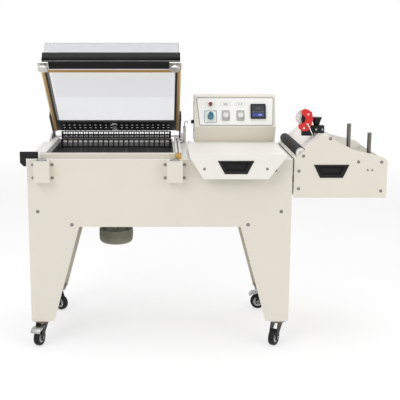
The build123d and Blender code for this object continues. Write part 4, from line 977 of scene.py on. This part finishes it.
# %% Hood trim and fasteners
bars_low, bars_high = box_of("lid_crossbars")
hood_low, hood_high = box_of("hood")
lid_front, pan_rear = -605.0, -60.0
frame_high = 45.0
trim_foot = (lid_front + 1.0, frame_high)
trim_back = (pan_rear, frame_high + 9.0)
blocks("hood_trim", [
    ((hood_low.x + 1.0, *trim_foot), (hood_high.x - 1.0, lid_front + 7.0, frame_high + 1.5)),
    ((hood_low.x - 5.0, *trim_foot), (hood_low.x - 1.0, *trim_back)),
    ((hood_high.x + 1.0, *trim_foot), (hood_high.x + 5.0, *trim_back)),
], lid, white_coat, "lid")
hood_front, hood_foot, hood_top = -593.8, 47.0, 148.8
edge_left, edge_right = hood_low.x + 3.2, hood_high.x - 3.2
# The dark rods along the hood's corners are painted shade.
edges = bmesh.new()
corner_points = [(edge_left, hood_front, hood_foot), (edge_left, hood_front, hood_top),
                 (edge_right, hood_front, hood_top), (edge_right, hood_front, hood_foot)]
for start, end in zip(corner_points, corner_points[1:]):
    add_rod(edges, start, end, 0.9, segments=8)
piece("hood_edges", edges, lid, dark_washer_and_shade, "lid")
blocks("front_tape_lip", [((bars_low.x, lid_front + 0.6, -0.4),
                           (bars_high.x, lid_front + 3.0, 3.0))],
       lid, pad_white, "lid")

hardware = bmesh.new()
keeper_y = magnet_y - hinge_y
for x in magnet_places:
    add_rod(hardware, (x, keeper_y, 7.2), (x, keeper_y, 12.0), 9.5, segments=6)
    add_lathe(hardware, [(6.2, -0.4), (11.0, -0.4), (11.0, 1.2), (6.2, 1.2)],
              (x, keeper_y, 0.0), steps=32)
# Nuts on the handle's brackets and on the hinge arms: left X, right X, Y, Z, height, radius.
nut_rows = [(-528.0, 96.0, (-646.0, -618.0), 45.0, 3.0, 5.5),
            (-540.0, 103.0, (-185.0, -150.0), 8.0, 2.4, 6.0)]
for left, right, rows, z, height, radius in nut_rows:
    for x, side in ((left, -1), (right, 1)):
        for y in rows:
            add_rod(hardware, (x, y, z), (x + side * height, y, z), radius, segments=6)
rivet = [(0.01, -0.5), (2.6, -0.5), (2.2, 0.9), (0.01, 1.4)]
for y in range(-560, -150, 80):
    for x, side in ((hood_low.x - 5.1, -1), (hood_high.x + 5.1, 1)):
        add_lathe(hardware, rivet, (x, y, frame_high + 5.0), (side, 0, 0), steps=16)
piece("lid_hardware", hardware, lid, zinc, "lid")
print("hood top", hood_top, "mm above the lid line")

# %% [markdown]
# ## Lid: rear pan, tape edges and guard wires
# The rear pan is black, with rows of square holes. The holes look dark, so a dark
# strip backs each row as painted shade and closes it to the eye. Pale lines beside
# the brown seal tape are its uncovered edges. The guard behind the lid is a row of
# welded wires, so it is a row of rods at an even step.

# %% Rear pan and guard wires
centre_bracket = bmesh.new()
add_box(centre_bracket, (-238.0, -122.0, -2.0), (-214.0, pan_rear, 3.0), 0.8)
for x in (-236.5, -222.5):
    add_box(centre_bracket, (x, -120.0, -4.6), (x + 7.0, pan_rear - 2.0, -2.0), 0.5)
piece("pan_bracket", centre_bracket, lid, keeper_zinc, "lid")
hole_rows = (-104.0, -78.0)
# Painted shade: a dark strip behind each row of holes.
blocks("pan_hole_shade", [((-494.0, y - 8.5, 6.3), (57.0, y + 5.0, 7.3)) for y in hole_rows],
       lid, dark_coat, "lid")
blocks("tape_edges", [((x, lid_front + 4.0, -0.12), (x + 5.4, pan_rear - 10.0, 1.0))
                      for x in (-531.4, 89.0)], lid, tape_edge, "lid")

guard_middle = middle_of("rear_guards").x
guard_y = 576.2
wire_foot, wire_top = 885.0, 922.0
wire_count, wire_step, wire_radius = 21, 25.6, 1.7
half_guard = 256.5
wires = bmesh.new()
for i in range(wire_count):
    x = guard_middle + wire_step * (i - wire_count // 2)
    add_rod(wires, (x, guard_y, wire_foot), (x, guard_y, wire_top), wire_radius, segments=10)
add_rod(wires, (guard_middle - half_guard, guard_y, wire_top),
        (guard_middle + half_guard, guard_y, wire_top), wire_radius, segments=10)
piece("rear_wires", wires, cabinet, black_coat, "frame")
turned("pan_rivets", [(0.01, 0.5), (3.4, 0.5), (3.0, -0.9), (0.01, -1.3)],
       [((x, y, 3.0), UP) for x in range(-480, 60, 52) for y in (-127.0, -57.0)],
       lid, dark_coat, "lid", steps=16)
print("guard wires", wire_count)

# %% [markdown]
# ## Sealing jaws and deck
# The jaws press the film. The front one is painted, the right one has white pads
# with a hot wire in the groove between them. The wires are straight, so they are
# thin rods, and the groove is a dark block that stops just below the pads. At the
# back a pale post carries a bent hook, which is a swept wire.

# %% Jaws and deck
pads_low, pads_high = box_of("seal_pads")
block_low, block_high = box_of("jaw_end_block")
block_middle = middle_of("jaw_end_block")
pad_top = pads_high.z
jaw_x = block_middle.x
blocks("front_pad_cover", [((pads_low.x, 10.2, pad_top - 0.4),
                            (block_low.x, 29.8, pad_top + 0.12))],
       cabinet, jaw_beige, "frame")
wires = bmesh.new()
add_rod(wires, (jaw_x, 34.0, pad_top - 1.6), (jaw_x, 558.0, pad_top - 1.6), 0.9, segments=10)
add_rod(wires, (-524.0, 20.0, pad_top - 0.2), (70.0, 20.0, pad_top - 0.2), 0.45, segments=8)
piece("sealing_wires", wires, cabinet, brass, "frame")
blocks("jaw_groove", [((jaw_x - 2.8, 33.5, pad_top - 4.2), (jaw_x + 2.8, 559.5, pad_top - 2.6))],
       cabinet, pad_rubber, "frame")
turned("end_block_screws", [(0.01, 0.0), (3.2, 0.0), (3.2, 0.7), (2.4, 1.0), (0.01, 1.0)],
       [((x, block_middle.y, block_high.z - 0.1), UP) for x in (jaw_x - 6.0, jaw_x + 6.0)],
       cabinet, zinc, "frame", steps=20)

post_x, post_y = 121.5, 552.0
post_foot, post_top = 864.0, 940.0
blocks("spring_post", [((post_x - 6.9, post_y - 7.0, post_foot),
                        (post_x + 7.0, post_y + 7.0, post_top))],
       cabinet, cream, "frame", round_by=1.5)
hook_path = ((0.0, -6.0), (0.0, 18.0), (2.0, 26.0), (8.0, 32.0), (14.0, 28.0), (14.0, 20.0))
hook = bmesh.new()
add_tube(hook, [(post_x + x, post_y, post_top + z) for x, z in hook_path], 2.2)
add_lathe(hook, [(0.01, 0.0), (7.0, 0.0), (7.0, 5.0), (0.01, 5.0)],
          (post_x, post_y, post_top), steps=24)
piece("post_hook", hook, cabinet, zinc, "frame")
rings = bmesh.new()
for x in magnet_places:
    face = (x, magnet_y, magnets_high.z)
    add_lathe(rings, [(20.4, -6.0), (22.6, -6.0), (22.6, -4.8), (20.4, -4.4)], face)
    add_lathe(rings, [(7.0, -0.3), (9.0, -0.3), (9.0, 0.15), (7.0, 0.15)], face, steps=32)
piece("magnet_rings", rings, cabinet, ink, "frame")
print("pads at", round(pad_top, 1), "mm")

# %% [markdown]
# ## Hinges
# The lid turns on a shaft behind the cabinet. A collar at each end keeps the shaft
# from sliding. A collar could be a plain cylinder, but the turned profile has the
# two small chamfers that catch a bright line.

# %% Hinges
shaft_low, shaft_high = box_of("hinge_shaft")
collar = [(7.1, 0.4), (12.0, 0.4), (12.5, 1.0), (12.5, 4.6), (12.0, 5.2), (7.1, 5.2)]
turned("hinge_collars", collar,
       [((x, hinge_y, hinge_z), (side, 0, 0))
        for x, side in ((shaft_low.x + 6.0, -1), (shaft_high.x - 6.0, 1))],
       cabinet, zinc, "frame", steps=32)
print("shaft at", hinge_y, hinge_z)

# %% [markdown]
# ## Heaters
# Finned heaters warm the air in the chamber. Each has dozens of thin steel fins on
# a rod. Modelled one by one they would be hundreds of loose discs, so one zigzag
# profile is turned once and gives a whole heater. Few steps round are enough,
# because the fins are small and lie in the shade.

# %% Heaters
heater_start = box_of("heater_elements")[0].x
heater_middle = middle_of("heater_elements")
heater_count, heater_step = 5, 80.0
fin_count, fin_step, fin_start = 58, 9.0, 26.0
fins = []
for k in range(fin_count):
    x = fin_start + fin_step * k
    fins += [(4.1, x), (11.0, x + 0.6), (11.0, x + 1.4), (4.1, x + 2.0)]
fins += [(3.9, fin_start + fin_step * fin_count), (3.9, fin_start)]
rows = [heater_middle.y + heater_step * (i - heater_count // 2) for i in range(heater_count)]
turned("heater_fins", fins, [((heater_start, y, heater_middle.z), (1, 0, 0)) for y in rows],
       cabinet, liner_metal, "frame", steps=14)
print("fins on a heater", fin_count)

# %% [markdown]
# ## Fan motor
# The motor hangs under the chamber and shows between the legs. Its shell is a drawn
# cup with three beads, which are turned rings. Sixteen dark rods half sunk in the
# bottom are painted shade that reads as vent slots. The terminal box behind is a
# rounded block in the same paint.

# %% Fan motor
fan_spot = (-211.0, 290.0)
motor_radius = 80.0
motor_low, motor_high = box_of("fan_motor")[0].z, 484.0
bead = [(-1.0, 0.0), (1.6, 0.6), (1.6, 2.6), (-1.0, 3.2)]
ribs = bmesh.new()
for drop in (12.0, 22.0, 32.0):
    add_lathe(ribs, [(motor_radius + out, motor_high - drop + z) for out, z in bead],
              (*fan_spot, 0.0), steps=64)
add_lathe(ribs, [(10.0, -1.5), (30.0, -1.5), (33.0, 0.5), (10.0, 0.5)],
          (*fan_spot, motor_low))
piece("motor_ribs", ribs, cabinet, motor_coat, "frame")
# Painted shade: dark rods where the vent slots are.
vent_count, vent_from, vent_to = 16, 37.0, 55.0
vent_shade = bmesh.new()
for i in range(vent_count):
    angle = math.tau * i / vent_count
    along = Vector((math.cos(angle), math.sin(angle), 0))
    centre = Vector((*fan_spot, motor_low - 0.3))
    add_rod(vent_shade, centre + along * vent_from, centre + along * vent_to, 2.2, segments=10)
piece("motor_vent_shade", vent_shade, cabinet, black_plastic, "frame")
blocks("motor_terminal_box", [((fan_spot[0] - 22.0, fan_spot[1] + 72.0, motor_low + 22.0),
                               (fan_spot[0] + 22.0, fan_spot[1] + 100.0, motor_high - 6.0))],
       cabinet, motor_coat, "frame", round_by=3.0)
print("motor from", motor_low, "to", motor_high)

# %% [markdown]
# ## Cup pulls
# Table and film plate are pulled by moulded black cups. The rim slopes inwards to a
# smaller recess, and that slope gives the cup its light edge. A boolean could carve
# it, but outlines at falling heights, bridged into one skin, give an even slope and
# clean corners.

# %% Cup pulls
cup_outlines = {
    "platform": ([(258.0, 862.0), (285.5, 812.0), (378.0, 812.0), (403.6, 862.0)],
                 table_low.y, "table"),
    "film": ([(685.0, 835.0), (710.0, 785.0), (806.0, 785.0), (829.0, 835.0)], 0.0,
             "film_unit"),
}
for name, (outline, y, body) in cup_outlines.items():
    funnel = bmesh.new()
    edge = rounded_outline(outline, 4.0, 0.4)
    throat = rounded_outline(outline, 2.5, 10.5)
    deep = rounded_outline(outline, 2.5, 11.5)
    add_band(funnel, [(edge, 1.7), (throat, -7.0), (deep, -16.0), (edge, -16.4)])
    piece(f"{name}_cup_bevel", funnel, facing(y), black_plastic, body)
print("cup pulls", sorted(cup_outlines))

# %% [markdown]
# ## Side and rear screws
# Button heads hold the side panels, the rear panel and the console's cover. They
# are plain domes in the photograph, with no cross to be seen, so a profile of five
# points is turned for each. The table and the film unit hide the upper screws on
# the right, so that side has only the lower ones.

# %% Side and rear screws
button = [(0.01, 0.0), (5.6, 0.0), (5.6, 0.6), (4.4, 1.5), (0.01, 1.8)]
side_x = box_of("side_panels")[1].x
back_y = box_of("rear_panel")[1].y
case_low, case_high = box_of("console_case")
side_rows = (36.0, 540.0)
left = [((-side_x, y, z), (-1, 0, 0)) for y in side_rows for z in (180.0, 420.0, 640.0, 820.0)]
right = [((side_x, y, z), (1, 0, 0)) for z in (180.0, 420.0) for y in side_rows]
turned("side_screws", button, left + right, cabinet, screw_steel, "frame")
rear_places = ((-544.0, 628.0), (544.0, 628.0), (-393.0, 568.0), (393.0, 568.0),
               (-544.0, 780.0), (544.0, 780.0), (-60.0, 780.0), (-60.0, 568.0))
turned("rear_screws", button, [((x, back_y, z), (0, 1, 0)) for x, z in rear_places],
       cabinet, screw_steel, "frame")
turned("case_screws", button,
       [((x, 420.0, z), (side, 0, 0)) for x, side in ((case_low.x, -1), (case_high.x, 1))
        for z in (940.0, 1070.0)], cabinet, screw_steel, "frame")
print("button head radius", button[1][0], "mm")

# %% [markdown]
# ## Table details
# A black catch knob sits under the table's apron and a thin hook at its back
# corner. The knob is turned, with a neck narrower than its head, since a hand has
# to get behind it. The hook is a swept wire. A thin cream skirt under the console
# closes the gap behind the table, which slides below it.

# %% Table details
catch = [(0.01, 0.0), (3.5, 0.0), (3.5, 6.0), (7.5, 8.0), (8.0, 14.0), (6.5, 16.0),
         (0.01, 16.0)]
turned("catch_knob", catch, [((508.0, 818.0, 0.0), UP)], facing(0.0), black_plastic,
       "frame", steps=32)
hook_foot = (table_low.x + 5.0, 318.0, table_high.z)
hook_path = ((0.0, 0.0), (0.0, 7.0), (3.0, 10.5), (8.0, 10.5), (11.0, 7.0))
hook = bmesh.new()
add_tube(hook, [(hook_foot[0] + x, hook_foot[1], hook_foot[2] + z) for x, z in hook_path],
         1.6, sides=8)
piece("table_hook", hook, cabinet, zinc, "table")
skirt_low, skirt_high = table_high.z + 0.6, table_high.z + 3.4
# The skirt has the paler cream, which is painted light.
blocks("console_skirt", [((case_low.x + 3.0, table_high.y - 2.0, skirt_low),
                          (case_high.x - 3.0, table_high.y + 31.0, skirt_high))],
       cabinet, cream_painted_light, "frame", round_by=0.8)
print("skirt from", round(skirt_low, 1), "to", round(skirt_high, 1))

# %% [markdown]
# ## Film unit: guide roller and posts
# The black guide roller has bright discs at its ends and runs beside the sloping
# deck. Its axis is the middle of the CAD roller's box, so what is turned about that
# axis stays on the roller. A disc could be a plain cylinder, but a profile gives it
# the dished edge. The tall posts stand in collars.

# %% Guide roller and posts
guide = middle_of("guide_roller")
guide_ends = ((12.6, -1), (532.4, 1))
turned("guide_end_discs", [(5.2, -0.2), (21.6, -0.2), (21.2, 0.35), (5.2, 0.45)],
       [((guide.x, y, guide.z), (0, side, 0)) for y, side in guide_ends],
       cabinet, polished, "guide", steps=48)
turned("guide_bands", [(21.0, -1.4), (22.75, -1.4), (22.75, 1.4), (21.0, 1.4)],
       [((guide.x, y - side * 3.0, guide.z), (0, 1, 0)) for y, side in guide_ends],
       cabinet, zinc, "guide", steps=48)
axle_nuts = bmesh.new()
for y, side in guide_ends:
    add_rod(axle_nuts, (guide.x, y + side * 5.2, guide.z), (guide.x, y + side * 8.2, guide.z),
            7.5, segments=6)
piece("guide_axle_nuts", axle_nuts, cabinet, zinc, "film_unit")
posts_low, posts_high = box_of("film_posts")
turned("post_collars", [(9.05, 0.0), (16.0, 0.0), (16.0, 10.0), (14.5, 12.0), (9.05, 12.0)],
       [((x, 40.0, posts_low.z), UP) for x in (posts_low.x + 9.0, posts_high.x - 9.0)],
       cabinet, zinc, "film_unit", steps=40)
print("guide roller at", round(guide.x, 1), round(guide.z, 1))

# %% [markdown]
# ## Film unit: hole punch
# The hole punch lets air out of the bag. It has a hub, a marked disc, cover screws,
# a lever and a clamp knob with a grip. Its real form is only a few pixels wide, so
# simple turned parts and swept wires are used. More detail would be invented and
# would not read.

# %% Hole punch
cover_low, cover_high = box_of("perforator_cover")
base_front = box_of("perforator_base")[0].y
wheel_front = box_of("punch_wheel")[0].y
wheel = middle_of("punch_wheel")
turned("punch_hub", [(0.01, 0.0), (9.0, 0.0), (9.0, 9.0), (7.0, 12.0), (3.5, 12.5),
                     (0.01, 12.5)], [((640.0, 1031.0, 0.0), UP)], facing(cover_high.y),
       black_plastic, "film_unit", steps=32)
dots, dot_ring = 6, 22.0
marks = bmesh.new()
add_lathe(marks, [(30.0, -0.1), (33.6, -0.1), (33.9, 0.2), (30.0, 0.4)],
          (wheel.x, wheel.z, 0.0), steps=64)
for i in range(dots):
    angle = math.tau * i / dots
    x, z = wheel.x + dot_ring * math.cos(angle), wheel.z + dot_ring * math.sin(angle)
    add_rod(marks, (x, z, -0.1), (x, z, 0.25), 3.0, segments=20)
piece("punch_disc_marks", marks, facing(wheel_front), plate_grey, "punch")
turned("cover_screws", [(0.01, -0.2), (4.6, -0.2), (4.6, 1.0), (3.4, 2.4), (0.01, 2.8)],
       [((x, z, 0.0), UP) for x, z in ((662.0, 1052.0), (659.0, 1008.0), (644.0, 990.0))],
       facing(cover_low.y), knob_white, "film_unit")
lever_y, lever_foot = 82.5, (685.0, 955.0)
lever = bmesh.new()
add_tube(lever, [(659.0, 84.0, 1010.0), (664.0, lever_y, 1000.0), (675.0, lever_y, 977.0),
                 (lever_foot[0], lever_y, lever_foot[1])], 2.6, sides=12)
add_lathe(lever, [(0.01, 0.0), (4.0, 0.0), (4.0, 6.0), (0.01, 6.0)],
          (lever_foot[0], lever_y, lever_foot[1] - 4.5), steps=20)
piece("punch_lever", lever, cabinet, polished, "film_unit")
hook_path = ((729.5, 990.0), (734.0, 994.0), (738.0, 990.0), (738.0, 980.0), (734.0, 975.0))
hook = bmesh.new()
add_tube(hook, [(x, 112.0, z) for x, z in hook_path], 1.8, sides=8)
piece("punch_hook", hook, cabinet, zinc, "film_unit")
turned("clamp_screws", [(0.01, -0.2), (4.2, -0.2), (4.2, 3.2), (3.6, 3.8), (0.01, 3.8)],
       [((x, 984.0, 0.0), UP) for x in (699.0, 727.0)], facing(base_front), zinc,
       "film_unit")
ridges, ridge_ring = 10, 20.6
knob_x, knob_y = 704.0, 115.0
grip = bmesh.new()
for i in range(ridges):
    angle = math.tau * i / ridges
    x, y = knob_x + ridge_ring * math.cos(angle), knob_y + ridge_ring * math.sin(angle)
    add_rod(grip, (x, y, 1030.0), (x, y, 1036.8), 2.6, segments=12)
piece("clamp_knob_grip", grip, cabinet, black_plastic, "clamp_knob")
print("punch wheel at", wheel.x, wheel.z)

# %% [markdown]
# ## Floor
# A product photograph stands on a white sweep. A plane would show its edge, so this
# floor is a disc that fades out to the white surroundings. A little light of its
# own lifts it nearly to white, and the diffuse part keeps the soft shadow under the
# machine.

# %% Floor
def make_floor(radius, fade_from, fade_to):
    """A pale floor that keeps a soft shadow and fades out to white."""
    made, tree = new_material("studio_floor")
    spot = add_node(tree, "ShaderNodeTexCoord")
    away = add_node(tree, "ShaderNodeVectorMath", {0: spot.outputs["Object"]},
                    operation="LENGTH")
    fade = add_node(tree, "ShaderNodeMapRange",
                    {"Value": away.outputs["Value"], "From Min": fade_from,
                     "From Max": fade_to})
    diffuse = add_node(tree, "ShaderNodeBsdfDiffuse", {"Color": (0.42, 0.42, 0.42, 1.0)})
    lift = add_node(tree, "ShaderNodeEmission",
                    {"Color": (1.0, 1.0, 1.0, 1.0), "Strength": 0.64})
    both = add_node(tree, "ShaderNodeAddShader", {0: diffuse.outputs[0], 1: lift.outputs[0]})
    gone = add_node(tree, "ShaderNodeBsdfTransparent")
    mixed = add_node(tree, "ShaderNodeMixShader",
                     {0: fade.outputs["Result"], 1: both.outputs[0], 2: gone.outputs[0]})
    add_node(tree, "ShaderNodeOutputMaterial", {"Surface": mixed.outputs[0]})
    mesh = bmesh.new()
    bmesh.ops.create_circle(mesh, cap_ends=True, segments=64, radius=radius)
    data = bpy.data.meshes.new("floor")
    mesh.to_mesh(data)
    mesh.free()
    data.materials.append(made)
    floor = bpy.data.objects.new("floor", data)
    bpy.context.scene.collection.objects.link(floor)


floor_radius = 6.0
make_floor(floor_radius, fade_from=3.2, fade_to=5.5)
print("floor radius", floor_radius, "m")

# %% [markdown]
# ## Surroundings
# The world is white to the camera and in reflections, yet dimmer as a light. If it
# lit the scene at full strength, cream paint would wash out to white. A light path
# node tells the two apart.

# %% Surroundings
world = bpy.data.worlds.new("studio")
bpy.context.scene.world = world
world.use_nodes = True
tree = world.node_tree
tree.nodes.clear()
path = add_node(tree, "ShaderNodeLightPath")
seen = add_node(tree, "ShaderNodeMath", {0: path.outputs["Is Camera Ray"],
                1: path.outputs["Is Transmission Ray"]}, operation="MAXIMUM")
seen = add_node(tree, "ShaderNodeMath", {0: seen.outputs[0],
                1: path.outputs["Is Glossy Ray"]}, operation="MAXIMUM")
sky = add_node(tree, "ShaderNodeBackground",
               {"Color": (1.0, 1.0, 1.0, 1.0), "Strength": 0.5})
white = add_node(tree, "ShaderNodeBackground",
                 {"Color": (1.0, 1.0, 1.0, 1.0), "Strength": 1.0})
shown = add_node(tree, "ShaderNodeMixShader",
                 {0: seen.outputs[0], 1: sky.outputs[0], 2: white.outputs[0]})
add_node(tree, "ShaderNodeOutputWorld", {"Surface": shown.outputs[0]})
print("world", world.name)

# %% [markdown]
# ## Lights
# The photograph has large, soft lights with hardly a shadow. A large square lamp on
# the left is the key, a weaker one on the right fills, and one above lights the
# deck, the table and the lid. The larger the lamp, the softer its shadow.

# %% Lights
def area_light(name, place, aim, size, power):
    """A soft square light that looks at a point."""
    data = bpy.data.lights.new(name, "AREA")
    data.shape = "SQUARE"
    data.size = size
    data.energy = power
    made = bpy.data.objects.new(name, data)
    made.location = place
    made.rotation_euler = (Vector(aim) - Vector(place)).to_track_quat("-Z", "Y").to_euler()
    bpy.context.scene.collection.objects.link(made)


area_light("key_light", (-2.2, -3.2, 3.4), (0.0, 0.0, 0.8), 2.6, 60.0)
area_light("fill_light", (2.8, -3.0, 2.0), (0.1, 0.0, 0.7), 2.6, 34.0)
area_light("top_light", (0.0, 0.2, 4.2), (0.0, 0.0, 0.8), 3.0, 56.0)
print("key light", bpy.data.lights["key_light"].energy, "watts")

# %% [markdown]
# ## Camera
# The camera stands 4 m away, a little to the left and looking down by 11.5 degrees.
# That was worked out from the cabinet's edges. A long lens keeps upright edges
# parallel, and the shift moves the picture sideways without turning the camera.

# %% Camera
camera = bpy.data.objects.new("camera", bpy.data.cameras.new("camera"))
camera.location = (-0.1785, -4.0977, 1.454)
camera.rotation_euler = (math.radians(78.5), 0.0, 0.0)
camera.data.lens = 78.57
camera.data.sensor_width = 36.0
camera.data.shift_x = 0.0925
bpy.context.scene.collection.objects.link(camera)
scene = bpy.context.scene
scene.camera = camera
scene.view_settings.view_transform = "Standard"
print("focal length", round(camera.data.lens, 2))
